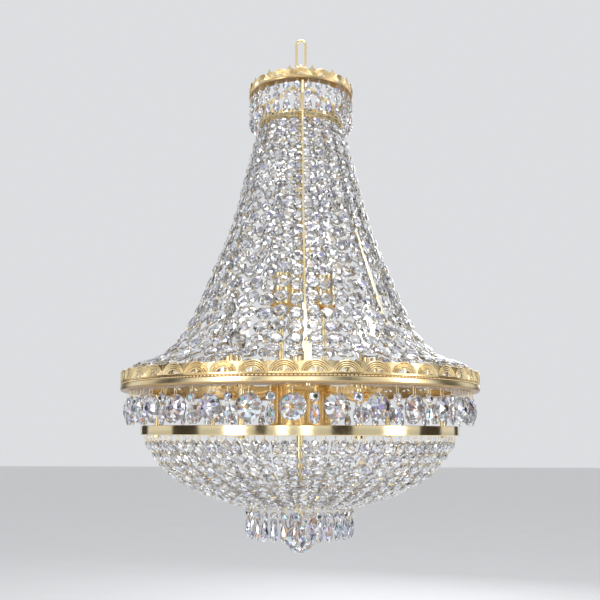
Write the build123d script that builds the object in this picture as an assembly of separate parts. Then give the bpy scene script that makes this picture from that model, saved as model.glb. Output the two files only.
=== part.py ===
from build123d import *
from math import pi
import os

# Basket chandelier of brass and cut crystal, hung from one oblong link.
# Millimetres, +Z up. The origin is where the ceiling hook touches the inside of the link's top bend.
# Azimuths are in degrees, seen from above: 0 is the front (-Y), 90 is the right side (+X).
# Every height below is a drop, measured downwards from the origin.

# ---- Hanging link and eye ----
link_wire_d = 4.0
link_width = 18.0
link_length = 50.0
eye_wire_d = 4.0
eye_bore_d = 10.0
eye_shank_d = 6.0
swing_clearance = 0.3

# ---- Central stem and collar ----
stem_d = 10.0
stem_bore_d = 7.0
collar_d = 16.0
collar_height = 15.0
nut_height = 5.0
nut_width = 17.0
slip_clearance = 0.2

# ---- Crown ----
crown_r = 78.6
crown_rim_drop = 93.0
crown_rim_height = 3.5
crown_flange_width = 14.0
crown_arch_height = 13.0
crown_spike_height = 16.5
crown_bays = 15
spider_thickness = 2.0
spider_width = 8.0
spider_end_gap = 0.5

# ---- Neck ----
neck_r = 63.8
neck_drop = 136.5
neck_height = 5.0
neck_flange_width = 12.0
neck_hole_inset = 2.0

# ---- Main ring ----
main_r = 250.0
main_drop = 529.0
main_rim_height = 12.0
main_flange_lip = 2.3
main_arch_height = 15.0
main_spike_height = 12.0
main_bays = 44
gallery_wall = 1.4
gallery_foot = 2.0
sheet = 1.5

# ---- Basket band and its posts ----
band_r = 221.3
band_gap = 45.5
band_height = 12.0
band_flange_width = 14.0
post_d = 8.0
post_flare = 2.5
post_flare_height = 4.0
post_wall_gap = 1.5
post_spread = 4
bolt_d = 4.0
bolt_head_d = 7.0
bolt_head_height = 2.5
bolt_nut_d = 8.0
bolt_nut_height = 3.0
bolt_end = 1.5

# ---- Bottom ring and hanging ball ----
bottom_r = 75.5
basket_depth = 90.0
bottom_height = 5.2
bottom_flange_width = 11.0
cap_d = 14.0
cap_height = 10.0
cap_floor = 4.0
ball_eye_r = 3.5
ball_eye_wire_d = 2.0
ball_hook_bore_d = 4.4
ball_hook_wire_d = 1.6
ball_d = 43.0
ball_top_gap = 2.0
ball_pin_depth = 12.0

# ---- Frame ribs ----
rib_count = 3
rib_az = 2.0
rib_thickness = 2.5
rib_depth = 4.0
rib_clearance = 1.2
rib_neck_clearance = 0.5
foot_width = 8.0
foot_depth = 8.0
foot_wall_gap = 0.4
foot_screw_depth = 11.0

# ---- Hub ----
hub_r = 44.0
hub_height = 53.0
hub_setback = 2.0
hub_wall = 3.0
hub_flutes = 36
hub_first_flute = 5.0
flute_r = 2.4
hub_base_height = 8.0
terminal_size = (14.0, 30.0, 14.0)
terminal_r = 22.0

# ---- Lamps ----
lower_lamps = 6
lower_lamp_r = 108.0
lower_seat_dip = 10.0
upper_lamps = 3
upper_lamp_r = 36.0
upper_lamp_az = -49.0
upper_seat_rise = 111.5
arm_d = 6.0
arm_dip = 10.0
arm_bend_r = 4.0
arm_drop = 4.0
arm_grip = 5.0
nipple_rise = 9.0
lamp_nut_height = 4.0
lamp_nut_r = 7.8
pole_d = 8.0
pole_flare = 2.5
bobeche_r = 17.0
bobeche_height = 4.0
bobeche_wall = 1.2
holder_d = 22.0
holder_height = 44.0
sleeve_gap = 1.3
sleeve_wall = 1.2
sleeve_length = 48.0
lamp_cap_d = 13.9
lamp_cap_height = 20.0
lamp_cap_rise = 4.0
bulb_d = 35.0
bulb_height = 84.0
glass_wall = 1.0

# ---- Crystals ----
pin_d = 1.2
pin_hole_d = 1.6
pin_seat = 2.5
pin_play = 0.4
pin_head_d = 2.6
pin_head_height = 0.8
link_sides = 6
bead_thickness = 6.2
layer_gap = 0.6
crowded_pitch = 0.94
free_pitch = 1.09
curtain_strands = 48
curtain_bead_top = 14.4
curtain_bead_bottom = 21.0
curtain_bead_gap = 3.4
curtain_pin_length = 6.0
curtain_end_inset = 12.0
curtain_end_rise = 5.0
basket_strands = 78
basket_bead_top = 14.8
basket_bead_bottom = 12.8
basket_bead_gap = 2.2
basket_pin_length = 7.5
pendant_sets = 30
pendant_az = -2.0
pendant_inset = 11.5
large_crystal_d = 31.6
large_crystal_table_d = 17.0
large_crystal_thickness = 13.0
large_crystal_edge = 2.4
large_crystal_drop = 9.5
octagon_d = 12.6
octagon_drop = 8.0
small_octagon_d = 11.0
drop_width = 11.6
drop_length = 23.0
crown_octagon_d = 11.4
crown_drop_length = 18.0
fringe_drop_length = 26.0
crystal_thickness = 6.4
crystal_gap = 2.2
fringe_inset = 3.6
crown_fringe_drop = 4.0
bottom_fringe_drop = 4.0

# ---- Heights that follow ----
link_bend_z = link_wire_d - link_length + link_wire_d / 2
eye_z = link_bend_z + link_wire_d / 2 + swing_clearance - eye_bore_d / 2
collar_top_z = eye_z - eye_bore_d / 2 - eye_wire_d
collar_bottom_z = collar_top_z - collar_height
crown_rim_z = -crown_rim_drop
crown_flange_z = crown_rim_z - crown_rim_height
neck_top_z = -neck_drop
neck_flange_z = neck_top_z - neck_height
layer_step = bead_thickness + layer_gap
main_z = -main_drop
main_flange_z = main_z - main_rim_height
band_top_z = main_flange_z - band_gap
band_flange_z = band_top_z - band_height
bottom_top_z = band_flange_z - basket_depth
bottom_flange_z = bottom_top_z - bottom_height
hub_top_z = main_z - hub_setback
hub_bottom_z = hub_top_z - hub_height
arm_start_r = hub_r - arm_grip
lower_seat_z = hub_top_z - lower_seat_dip
upper_seat_z = hub_top_z + upper_seat_rise
sleeve_d = holder_d + 2 * (sleeve_gap + sleeve_wall)
bottom_spider_z = bottom_flange_z + sheet
stem_end_z = bottom_spider_z - cap_height / 2
cap_bottom_z = bottom_spider_z - cap_height
ball_eye_z = cap_bottom_z - ball_eye_r
ball_pivot_z = ball_eye_z - ball_eye_r
ball_hook_z = ball_pivot_z + ball_eye_wire_d / 2 + swing_clearance - ball_hook_bore_d / 2
ball_top_z = ball_hook_z - ball_hook_bore_d / 2 - ball_hook_wire_d - ball_top_gap

# The curtain's fall and the basket's bowl, as shares of the height and the radius between their rings.
curtain_shape = [(0, 0), (0.23, 0.114), (0.44, 0.223), (0.64, 0.377), (0.79, 0.50), (0.90, 0.648),
                 (0.965, 0.80), (1, 1)]
basket_shape = [(0, 0), (0.20, 0.085), (0.44, 0.22), (0.69, 0.46), (0.87, 0.71), (1, 1)]
outer_top_r = neck_r - sheet - neck_hole_inset
curtain_top_r = outer_top_r - layer_step / 2 + 2.1
inner_top_r = curtain_top_r - layer_step / 2
curtain_end_r = main_r - curtain_end_inset
curtain_end_z = main_z + main_arch_height + curtain_end_rise
basket_top_r = band_r - 7.0
basket_end_r = bottom_r + 6.0
basket_end_z = bottom_top_z + 0.5
rib_offset = bead_thickness / 2 + rib_clearance

os.makedirs("parts", exist_ok=True)


# ---- Building blocks ----
def turned(*points):
    """A solid of revolution about Z from (radius, z) points."""
    return revolve(Plane.XZ * make_face(Polyline(*points, close=True)), Axis.Z)


def tube(outer_r, inner_r, top, bottom):
    return turned((inner_r, top), (outer_r, top), (outer_r, bottom), (inner_r, bottom))


def disc(radius, top, bottom):
    return turned((0, top), (radius, top), (radius, bottom), (0, bottom))


def rod(start, end, diameter):
    """A round rod between two points."""
    run = Vector(*end) - Vector(*start)
    place = Plane(origin=Vector(*start), z_dir=run.normalized())
    return place * Cylinder(diameter / 2, run.length, align=(Align.CENTER, Align.CENTER, Align.MIN))


def flat_sided_rod(start, end, diameter, sides):
    """A rod of few flat sides between two points of the XZ plane."""
    run = Vector(*end) - Vector(*start)
    place = Plane(origin=Vector(*start), x_dir=(0, 1, 0), z_dir=run.normalized())
    return place * extrude(RegularPolygon(diameter / 2, sides), run.length)


def wire_ring(major_r, wire_d, centre, axis):
    return Plane(origin=centre, z_dir=axis) * Torus(major_r, wire_d / 2)


def at(azimuth, shape):
    """Turn what was modelled along +X to an azimuth."""
    return Rot(0, 0, azimuth - 90) * shape


def around(count, first, shape):
    """Copies of a shape modelled along +X, evenly spaced about Z."""
    return [at(first + index * 360 / count, shape) for index in range(count)]


def save(name, shapes):
    """Write one node; a list keeps its pieces as separate solids."""
    solids = []
    for shape in shapes if isinstance(shapes, list) else [shapes]:
        solids.extend(shape.solids())
    export_step(solids[0] if len(solids) == 1 else Compound(children=solids), f"parts/{name}.step")


def hex_nut(top):
    block = extrude(RegularPolygon(nut_width / 2, 6), -nut_height)
    bore = Cylinder(stem_d / 2 + slip_clearance / 2, 3 * nut_height)
    return Pos(0, 0, top) * (block - bore)


def l_ring(outer_r, top, height, flange_width):
    """A ring of sheet with an upright wall and a flange turned inwards at its foot."""
    wall_r = outer_r - sheet
    foot = top - height
    return turned((wall_r, top), (outer_r, top), (outer_r, foot), (outer_r - flange_width, foot),
                  (outer_r - flange_width, foot + sheet), (wall_r, foot + sheet))


def spider(hub_top, hub_radius, end_r, end_top, bore_d):
    """A pressed plate with a pierced hub and three straps that slope to a ring."""
    plate = disc(hub_radius, hub_top, hub_top - spider_thickness)
    for index in range(rib_count):
        slope = Polyline((hub_radius - 3, hub_top), (end_r - spider_width, end_top), (end_r, end_top),
                         (end_r, end_top - spider_thickness),
                         (end_r - spider_width - 1, end_top - spider_thickness),
                         (hub_radius - 3, hub_top - spider_thickness), close=True)
        strap = extrude(Plane.XZ * make_face(slope), spider_width / 2, both=True)
        plate += at(rib_az + index * 360 / rib_count, strap)
    return plate - Pos(0, 0, hub_top) * Cylinder(bore_d / 2, 4 * spider_thickness)


# ---- Pierced galleries ----
def gallery(outer_r, bays, base_z, arch_height, spike_height, first_az):
    """An upright strip of round arches, each pierced twice, with a small spike between them."""
    pitch = 2 * pi * outer_r / bays
    arch_r = 0.482 * pitch
    centre_z = arch_height - arch_r
    spike_half = 0.06 * pitch
    blank = Pos(0, (spike_height + arch_height) / 2) * Rectangle(pitch, spike_height + arch_height)
    arch = Pos(0, centre_z) * Circle(arch_r)
    foot = Pos(0, gallery_foot - arch_height / 2) * Rectangle(2 * pitch, arch_height)
    spike = make_face(Polyline((-2 * spike_half, 0), (2 * spike_half, 0), (0, spike_height), close=True))
    spikes = Pos(pitch / 2, 0) * spike + Pos(-pitch / 2, 0) * spike
    piercing = Circle(0.085 * pitch)
    eyes = Pos(-0.2 * pitch, 0.42 * arch_height) * piercing + Pos(0.2 * pitch, 0.42 * arch_height) * piercing
    waste = blank - arch - foot - spikes + eyes
    cutter = extrude(Plane(origin=(outer_r, 0, base_z), x_dir=(0, 1, 0), z_dir=(1, 0, 0)) * waste,
                     4 * gallery_wall, both=True)
    top_z = base_z + max(spike_height, arch_height)
    strip = tube(outer_r, outer_r - gallery_wall, top_z, base_z)
    return strip - around(bays, first_az, cutter)


# ---- Crystal pieces, modelled hanging below (0, 0, 0) and facing +X ----
def pin_bore(top, depth):
    return rod((0, 0, top + 1), (0, 0, top - depth), pin_hole_d)


def octagon(width):
    """A flat octagon bead that hangs from its top edge, drilled above and below."""
    face = Rot(0, 0, 22.5) * RegularPolygon(width / 2, 8)
    half = face.bounding_box().max.Y
    bead = Rot(0, 90, 0) * extrude(face, crystal_thickness / 2, both=True)
    bead = Pos(0, 0, -half) * bead
    return bead - pin_bore(0, pin_seat) - pin_bore(pin_seat - 2 * half, pin_seat + 1), 2 * half


def almond(length):
    """A flat teardrop that hangs by its narrow end."""
    half = drop_width / 2
    side = [(0.3 * half, 0), (half, -0.62 * length), (0.72 * half, -0.85 * length), (0, -length)]
    outline = Polyline(*side, *[(-x, y) for x, y in reversed(side[:-1])], close=True)
    face = Plane(origin=(0, 0, 0), x_dir=(0, 1, 0), z_dir=(1, 0, 0)) * make_face(outline)
    return extrude(face, crystal_thickness / 2, both=True) - pin_bore(0, pin_seat), length


def large_crystal():
    """A round star-cut crystal, thin at its girdle, that hangs from its edge."""
    girdle, table = large_crystal_d / 2, large_crystal_table_d / 2
    half = large_crystal_thickness / 2
    edge = large_crystal_edge / 2
    stone = turned((0, half), (table, half), (girdle, edge), (girdle, -edge), (table, -half), (0, -half))
    stone = Pos(0, 0, -girdle) * Rot(0, 90, 0) * stone
    return stone - pin_bore(0, pin_seat), large_crystal_d


def crystal_string(radius, seat_z, first_gap, pieces):
    """Pieces hung one under another below a flange, and the brass pins that join them."""
    head_z = seat_z + sheet
    head = Pos(radius, 0, head_z) * disc(pin_head_d / 2, pin_head_height, 0)
    top = seat_z - first_gap
    pins = [rod((radius, 0, head_z), (radius, 0, top - pin_seat + pin_play), pin_d) + head]
    stones = []
    for index, (stone, length) in enumerate(pieces):
        stones.append(Pos(radius, 0, top) * stone)
        foot = top - length
        top = foot - crystal_gap
        if index + 1 < len(pieces):
            start, end = foot + pin_seat - pin_play, top - pin_seat + pin_play
            pins.append(rod((radius, 0, start), (radius, 0, end), pin_d))
    return stones, pins


def flange_holes(radius, seat_z, count, first_az):
    hole = rod((radius, 0, seat_z - 1), (radius, 0, seat_z + sheet + 1), pin_hole_d)
    return around(count, first_az, hole)


# ---- Strands of beads ----
def fall(shape, top, end):
    """A smooth curve in the XZ plane from (radius, z) to (radius, z), by shares of height and radius."""
    points = [(top[0] + (end[0] - top[0]) * across, top[1] + (end[1] - top[1]) * down)
              for down, across in shape]
    return Plane.XZ * Spline(*points)


def layer_share(radius, count, width):
    """How far neighbouring strands stand apart: all the way where they crowd, not at all where free."""
    pitch = 2 * pi * radius / (count * width)
    return min(1.0, max(0.0, (free_pitch - pitch) / (free_pitch - crowded_pitch)))


def strand(curve, top_anchor, end_anchor, widths, gap, outward, strands):
    """One strand: octagon beads on a curve, with links between them and to both anchors."""
    length = curve.length
    first, last = widths
    count = round(length / ((first + last) / 2 + gap))
    steps = [first + (last - first) * index / (count - 1) + gap for index in range(count)]
    stretch = length / sum(steps)
    centres, beads, run = [], [], 0.0
    for index, step in enumerate(steps):
        run += step / 2
        place = curve.position_at(run * stretch / length)
        along = curve.tangent_at(run * stretch / length)
        normal = Vector(-along.Z, 0, along.X)
        share = layer_share(place.X, strands, max(widths))
        place += normal * (outward * share * layer_step / 2)
        face = Rot(0, 0, 22.5) * RegularPolygon((step - gap) / 2, 8)
        beads.append(Plane(origin=place, x_dir=along, z_dir=normal)
                     * extrude(face, bead_thickness / 2, both=True))
        centres.append(tuple(place))
        run += step / 2
    below = (top_anchor[0], 0, top_anchor[2] - sheet - 1)
    route = [top_anchor, below] + centres + [end_anchor]
    links = [flat_sided_rod(*ends, pin_d, link_sides) for ends in zip(route[:-1], route[1:])]
    head = Pos(*top_anchor) * disc(pin_head_d / 2, pin_head_height, 0)
    return beads[0] + beads[1:] + links + [head]


def curtain_rib_lift(place):
    """The gap from the curtain's curve to a rib that lies outside its beads."""
    return rib_offset + layer_share(place.X, curtain_strands, curtain_bead_bottom) * layer_step / 2


# ---- Lamps ----
def lamp(radius, seat_z):
    """Nut, saucer, holder, sleeve, bulb cap and bulb glass, standing on a tube at one radius."""
    floor = seat_z + bobeche_wall
    bore_r = arm_d / 2 + slip_clearance / 2
    nut_foot = seat_z - lamp_nut_height
    nut = turned((bore_r, seat_z), (lamp_nut_r - 1, seat_z), (lamp_nut_r, seat_z - 0.4 * lamp_nut_height),
                 (0.7 * lamp_nut_r, nut_foot), (bore_r, nut_foot))
    saucer_top = seat_z + bobeche_height
    saucer = turned((bore_r, floor), (bobeche_r - 3, floor), (bobeche_r, saucer_top),
                    (bobeche_r + 1, saucer_top - bobeche_wall / 2), (bobeche_r - 2.5, seat_z),
                    (bore_r, seat_z))
    holder_top = floor + holder_height
    socket_r = (lamp_cap_d + slip_clearance) / 2
    socket_foot = holder_top - lamp_cap_height
    nipple_top = seat_z + nipple_rise + 2
    holder_r = holder_d / 2
    holder = turned((bore_r, floor), (holder_r, floor), (holder_r, holder_top), (socket_r, holder_top),
                    (socket_r, socket_foot), (0, socket_foot), (0, nipple_top), (bore_r, nipple_top))
    sleeve = tube(sleeve_d / 2, sleeve_d / 2 - sleeve_wall, floor + sleeve_length, floor)
    cap_r = lamp_cap_d / 2
    cap_top = holder_top + lamp_cap_rise
    contact = socket_foot + swing_clearance
    cap = turned((0, contact), (cap_r - 3, contact), (cap_r, contact + 3), (cap_r, cap_top), (0, cap_top))
    glass = bulb_glass(cap_top)
    return [Pos(radius, 0, 0) * piece for piece in (nut, saucer, holder, sleeve, cap, glass)]


def bulb_glass(foot_z):
    """A hollow candle-shaped bulb, open at its neck."""
    neck_half, half = lamp_cap_d / 2, bulb_d / 2
    outer = [(neck_half, 0), (1.15 * neck_half, 0.10 * bulb_height), (half, 0.36 * bulb_height),
             (0.66 * half, 0.68 * bulb_height), (0.26 * half, 0.90 * bulb_height), (0, bulb_height)]
    inner = [(x - glass_wall, z) for x, z in outer[:-1]] + [(0, bulb_height - 2.5 * glass_wall)]
    edge = Spline(*outer) + Line(outer[-1], inner[-1]) + Spline(*reversed(inner)) + Line(inner[0], outer[0])
    return Pos(0, 0, foot_z) * revolve(Plane.XZ * make_face(edge), Axis.Z)


def lamp_arm():
    """A thin tube from the hub's side to the nipple of a lower lamp."""
    start = (arm_start_r, hub_top_z - arm_drop)
    corner = (lower_lamp_r, lower_seat_z - arm_dip)
    tip = (lower_lamp_r, lower_seat_z + nipple_rise)
    route = Plane.XZ * FilletPolyline(start, corner, tip, radius=arm_bend_r)
    section = Plane(origin=route.position_at(0), z_dir=route.tangent_at(0)) * Circle(arm_d / 2)
    return sweep(section, path=route)


def band_post():
    """A turned tubular post between the main flange and the band flange, flared at its ends."""
    top, foot = main_flange_z, band_flange_z + sheet
    outer, bore_r = post_d / 2, bolt_hole_d / 2
    flare = outer + post_flare
    return turned((bore_r, top), (flare, top), (flare, top - post_flare_height / 2),
                  (outer, top - post_flare_height), (outer, foot + post_flare_height), (outer + 1, foot),
                  (bore_r, foot))


# ---- Hanging link, eye, collar and stem ----
leg_x = (link_width - link_wire_d) / 2
bend = Torus(leg_x, link_wire_d / 2, major_angle=180, align=(Align.CENTER, Align.MIN, Align.CENTER))
upper_bend_z = link_wire_d / 2 - leg_x
lower_bend_z = link_bend_z + leg_x
link = Pos(0, 0, upper_bend_z) * Rot(90, 0, 0) * bend
link += Pos(0, 0, lower_bend_z) * Rot(-90, 0, 0) * bend
for x in (leg_x, -leg_x):
    link += rod((x, 0, upper_bend_z), (x, 0, lower_bend_z), link_wire_d)
link -= Pos(leg_x, 0, -0.4 * link_length) * Box(2 * link_wire_d, 2 * link_wire_d, 0.4)
save("hook_link", link)

eye_mid_r = (eye_bore_d + eye_wire_d) / 2
shank_end_z = collar_top_z - collar_height / 2 + slip_clearance
top_eye = wire_ring(eye_mid_r, eye_wire_d, (0, 0, eye_z), (1, 0, 0))
top_eye += rod((0, 0, eye_z - eye_mid_r), (0, 0, shank_end_z), eye_shank_d)
save("top_eye", top_eye)

stem_seat_r = (stem_d + slip_clearance) / 2
stem_seat_z = collar_bottom_z + collar_height / 2
collar_r = collar_d / 2
shank_bore_r = (eye_shank_d + slip_clearance) / 2
save("stem_collar", turned((shank_bore_r, collar_top_z), (collar_r - 2, collar_top_z),
                           (collar_r, collar_top_z - 2), (collar_r, collar_bottom_z + 1),
                           (collar_r - 1, collar_bottom_z), (stem_seat_r, collar_bottom_z),
                           (stem_seat_r, stem_seat_z), (shank_bore_r, stem_seat_z)))
save("central_stem", tube(stem_d / 2, stem_bore_d / 2, stem_seat_z - slip_clearance, stem_end_z))

nut_tops = [collar_bottom_z - spider_thickness, hub_top_z + spider_thickness + nut_height,
            hub_bottom_z - hub_base_height, bottom_spider_z + spider_thickness + nut_height]
save("stem_nuts", [hex_nut(top) for top in nut_tops])

# ---- Crown, neck, main ring, band and bottom ring ----
stem_hole_d = stem_d + 2 * slip_clearance
save("crown_rim", l_ring(crown_r, crown_rim_z, crown_rim_height, crown_flange_width)
     - flange_holes(crown_r - fringe_inset, crown_flange_z, pendant_sets, rib_az + 180 / pendant_sets))
save("crown_gallery", gallery(crown_r, crown_bays, crown_rim_z, crown_arch_height, crown_spike_height, 0))
save("crown_spider", spider(collar_bottom_z, 1.7 * collar_r, crown_r - sheet - spider_end_gap,
                            crown_flange_z + sheet + spider_thickness, stem_hole_d))

strand_pitch = 360 / curtain_strands
outer_layer_az = rib_az + strand_pitch / 2
inner_layer_az = outer_layer_az + strand_pitch
save("neck_ring", l_ring(neck_r, neck_top_z, neck_height, neck_flange_width)
     - flange_holes(outer_top_r, neck_flange_z, curtain_strands // 2, outer_layer_az)
     - flange_holes(inner_top_r, neck_flange_z, curtain_strands // 2, inner_layer_az))

pendant_r = main_r - pendant_inset
post_r = band_r - sheet - post_wall_gap - post_d / 2
main_flange_width = main_r - post_r + main_flange_lip
post_pitch = post_spread * 360 / basket_strands
post_azimuths = [turn + side for turn in (0, 120, 240) for side in (-post_pitch, post_pitch)]
foot_r = main_r - sheet - foot_wall_gap - foot_depth / 2
bolt_hole_d = bolt_d + 2 * slip_clearance
main_bolt_hole = rod((post_r, 0, main_flange_z - 1), (post_r, 0, main_flange_z + 2 * sheet), bolt_hole_d)
foot_screw_hole = rod((foot_r, 0, main_flange_z - 1), (foot_r, 0, main_flange_z + 2 * sheet), bolt_hole_d)
save("main_rim", l_ring(main_r, main_z, main_rim_height, main_flange_width)
     - flange_holes(pendant_r, main_flange_z, 2 * pendant_sets, pendant_az)
     - [at(azimuth, main_bolt_hole) for azimuth in post_azimuths]
     - around(rib_count, rib_az, foot_screw_hole))
save("main_gallery", gallery(main_r, main_bays, main_z, main_arch_height, main_spike_height, 180 / main_bays))

basket_pitch = 360 / basket_strands
band_bolt_hole = rod((post_r, 0, band_flange_z - 1), (post_r, 0, band_flange_z + 2 * sheet), bolt_hole_d)
save("basket_band", l_ring(band_r, band_top_z, band_height, band_flange_width)
     - flange_holes(basket_top_r, band_flange_z, basket_strands, basket_pitch / 2)
     - [at(azimuth, band_bolt_hole) for azimuth in post_azimuths])
save("bottom_ring", l_ring(bottom_r, bottom_top_z, bottom_height, bottom_flange_width)
     - flange_holes(bottom_r - fringe_inset, bottom_flange_z, pendant_sets, rib_az + 180 / pendant_sets))
spider_top_z = bottom_spider_z + spider_thickness
save("bottom_spider", spider(spider_top_z, 0.7 * cap_d, bottom_r - sheet - spider_end_gap, spider_top_z,
                             stem_hole_d))

# ---- Posts between the main ring and the band ----
bolt_end_z = band_flange_z - bolt_nut_height - bolt_end
bolt_top_z = main_flange_z + sheet
band_bolt = rod((0, 0, bolt_top_z), (0, 0, bolt_end_z), bolt_d)
band_bolt += disc(bolt_head_d / 2, bolt_top_z + bolt_head_height, bolt_top_z)
band_nut = Pos(0, 0, band_flange_z) * extrude(RegularPolygon(bolt_nut_d / 2, 6), -bolt_nut_height)
band_nut -= rod((0, 0, bolt_top_z), (0, 0, bolt_end_z), bolt_d + slip_clearance)
for name, piece in (("band_posts", band_post()), ("post_bolts", band_bolt), ("post_nuts", band_nut)):
    save(name, [at(azimuth, Pos(post_r, 0, 0) * piece) for azimuth in post_azimuths])

# ---- Curtain and basket ----
curtain_top_z = neck_flange_z - curtain_pin_length
curtain_fall = fall(curtain_shape, (curtain_top_r, curtain_top_z), (curtain_end_r, curtain_end_z))
main_anchor = (main_r - sheet - pin_d / 2 - swing_clearance, 0, main_z - main_rim_height / 4)
curtain = []
for side, top_r, first_az in ((1, outer_top_r, outer_layer_az), (-1, inner_top_r, inner_layer_az)):
    one = strand(curtain_fall, (top_r, 0, neck_flange_z + sheet), main_anchor,
                 (curtain_bead_top, curtain_bead_bottom), curtain_bead_gap, side, curtain_strands)
    curtain += around(curtain_strands // 2, first_az, one)
save("curtain_strands", curtain)

basket_top_z = band_flange_z - basket_pin_length
basket_fall = fall(basket_shape, (basket_top_r, basket_top_z), (basket_end_r, basket_end_z))
bottom_anchor = (bottom_r + pin_d / 2, 0, bottom_top_z - bottom_height / 2)
basket = []
for side, first_az in ((1, basket_pitch / 2), (-1, 1.5 * basket_pitch)):
    one = strand(basket_fall, (basket_top_r, 0, band_flange_z + sheet), bottom_anchor,
                 (basket_bead_top, basket_bead_bottom), basket_bead_gap, side, basket_strands)
    basket += around(basket_strands // 2, first_az, one)
save("basket_strands", basket)

# ---- Ribs with their feet and screws ----
neck_middle_z = neck_top_z - neck_height / 2
rib_inner = [Vector(neck_r + 2.6, 0, crown_flange_z), Vector(neck_r + rib_neck_clearance, 0, neck_middle_z)]
rib_outer = [point + Vector(rib_depth, 0, 0) for point in rib_inner]
for share in (0.03, 0.09, 0.18, 0.3, 0.45, 0.6, 0.75, 0.88, 0.96):
    place, along = curtain_fall.position_at(share), curtain_fall.tangent_at(share)
    normal = Vector(-along.Z, 0, along.X)
    lift = curtain_rib_lift(place)
    rib_inner.append(place + normal * lift)
    rib_outer.append(place + normal * (lift + rib_depth))
foot_top_z = rib_outer[-1].Z + 0.5
rib_inner.append(Vector(foot_r, 0, rib_inner[-1].Z))
rib_outer.append(Vector(foot_r, 0, rib_outer[-1].Z))
rib_edge = (Spline(*rib_inner) + Line(rib_inner[-1], rib_outer[-1]) + Spline(*reversed(rib_outer))
            + Line(rib_outer[0], rib_inner[0]))
rib = extrude(make_face(rib_edge), rib_thickness / 2, both=True)
foot_base_z = main_flange_z + sheet
foot_height = foot_top_z - foot_base_z
foot = Pos(foot_r, 0, foot_base_z + foot_height / 2) * Box(foot_depth, foot_width, foot_height)
foot_bore_top = foot_base_z + foot_screw_depth + 1
foot_bore = rod((foot_r, 0, foot_base_z - 1), (foot_r, 0, foot_bore_top), bolt_d + slip_clearance)
save("frame_ribs", around(rib_count, rib_az, rib + foot - foot_bore))
rib_screw = rod((foot_r, 0, main_flange_z), (foot_r, 0, foot_base_z + foot_screw_depth), bolt_d)
rib_screw += Pos(foot_r, 0, 0) * disc(bolt_head_d / 2, main_flange_z, main_flange_z - bolt_head_height)
save("rib_screws", around(rib_count, rib_az, rib_screw))

# ---- Hub ----
arm_slope = (arm_dip + lower_seat_dip - arm_drop) / (lower_lamp_r - arm_start_r)
mouth_ends = [(arm_start_r + step, 0, hub_top_z - arm_drop - arm_slope * step) for step in (-5, 10)]
arm_mouth = rod(*mouth_ends, arm_d + 4 * slip_clearance)
flute_at = hub_r + 0.6 * flute_r
flute = rod((flute_at, 0, hub_top_z - 2), (flute_at, 0, hub_bottom_z + 2), 2 * flute_r)
drum = tube(hub_r, hub_r - hub_wall, hub_top_z, hub_bottom_z) - around(hub_flutes, hub_first_flute, flute)
save("hub_drum", drum - around(lower_lamps, 0, arm_mouth))
cover_top_z = hub_top_z + spider_thickness
save("hub_cover", tube(hub_r + 1, stem_hole_d / 2, cover_top_z, hub_top_z))
base_foot_z = hub_bottom_z - hub_base_height
save("hub_base", turned((stem_hole_d / 2, hub_bottom_z), (hub_r + 1, hub_bottom_z),
                        (hub_r + 1, hub_bottom_z - 2), (0.6 * hub_r, hub_bottom_z - 0.7 * hub_base_height),
                        (stem_hole_d, base_foot_z), (stem_hole_d / 2, base_foot_z)))
save("terminal_block", Pos(terminal_r, 0, hub_bottom_z + terminal_size[2] / 2) * Box(*terminal_size))

# ---- Lamps ----
lower_lamp = lamp(lower_lamp_r, lower_seat_z)
upper_lamp = lamp(upper_lamp_r, upper_seat_z)
upper_tip_z = upper_seat_z + nipple_rise
upper_step_z = upper_seat_z - lamp_nut_height
pole = Pos(upper_lamp_r, 0, 0) * turned((0, upper_tip_z), (arm_d / 2, upper_tip_z), (arm_d / 2, upper_step_z),
                                        (pole_d / 2, upper_step_z), (pole_d / 2, cover_top_z + 3),
                                        (pole_d / 2 + pole_flare, cover_top_z), (0, cover_top_z))
save("lamp_arms", around(lower_lamps, 0, lamp_arm()))
save("lamp_poles", around(upper_lamps, upper_lamp_az, pole))
fixed_pieces = ("lamp_nuts", "bobeches", "lampholders", "candle_sleeves")
lamp_pieces = [around(lower_lamps, 0, lower) + around(upper_lamps, upper_lamp_az, upper)
               for lower, upper in zip(lower_lamp, upper_lamp)]
for name, copies in zip(fixed_pieces, lamp_pieces):
    save(name, copies)
for number, (cap, glass) in enumerate(zip(*lamp_pieces[-2:]), 1):
    save(f"bulb_cap_{number}", cap)
    save(f"bulb_glass_{number}", glass)

# ---- Pendants round the main ring, the crown and the bottom ring ----
pendant_pitch = 360 / pendant_sets
large, large_pin = crystal_string(pendant_r, main_flange_z, large_crystal_drop, [large_crystal()])
small, small_pins = crystal_string(pendant_r, main_flange_z, octagon_drop,
                                   [octagon(octagon_d), almond(drop_length)])
save("large_crystals", around(pendant_sets, pendant_az, large[0]))
pins = around(pendant_sets, pendant_az, large_pin[0])
small_az = pendant_az + pendant_pitch / 2
save("band_octagons", around(pendant_sets, small_az, small[0]))
save("band_drops", around(pendant_sets, small_az, small[1]))
pins += [copy for pin in small_pins for copy in around(pendant_sets, small_az, pin)]

fringe_az = rib_az + pendant_pitch / 2
crown_string = [octagon(crown_octagon_d), octagon(crown_octagon_d), almond(crown_drop_length)]
crown_stones, crown_pins = crystal_string(crown_r - fringe_inset, crown_flange_z, crown_fringe_drop,
                                          crown_string)
crown_beads = [copy for stone in crown_stones[:2] for copy in around(pendant_sets, fringe_az, stone)]
save("crown_octagons", crown_beads)
save("crown_drops", around(pendant_sets, fringe_az, crown_stones[2]))
pins += [copy for pin in crown_pins for copy in around(pendant_sets, fringe_az, pin)]

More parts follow.
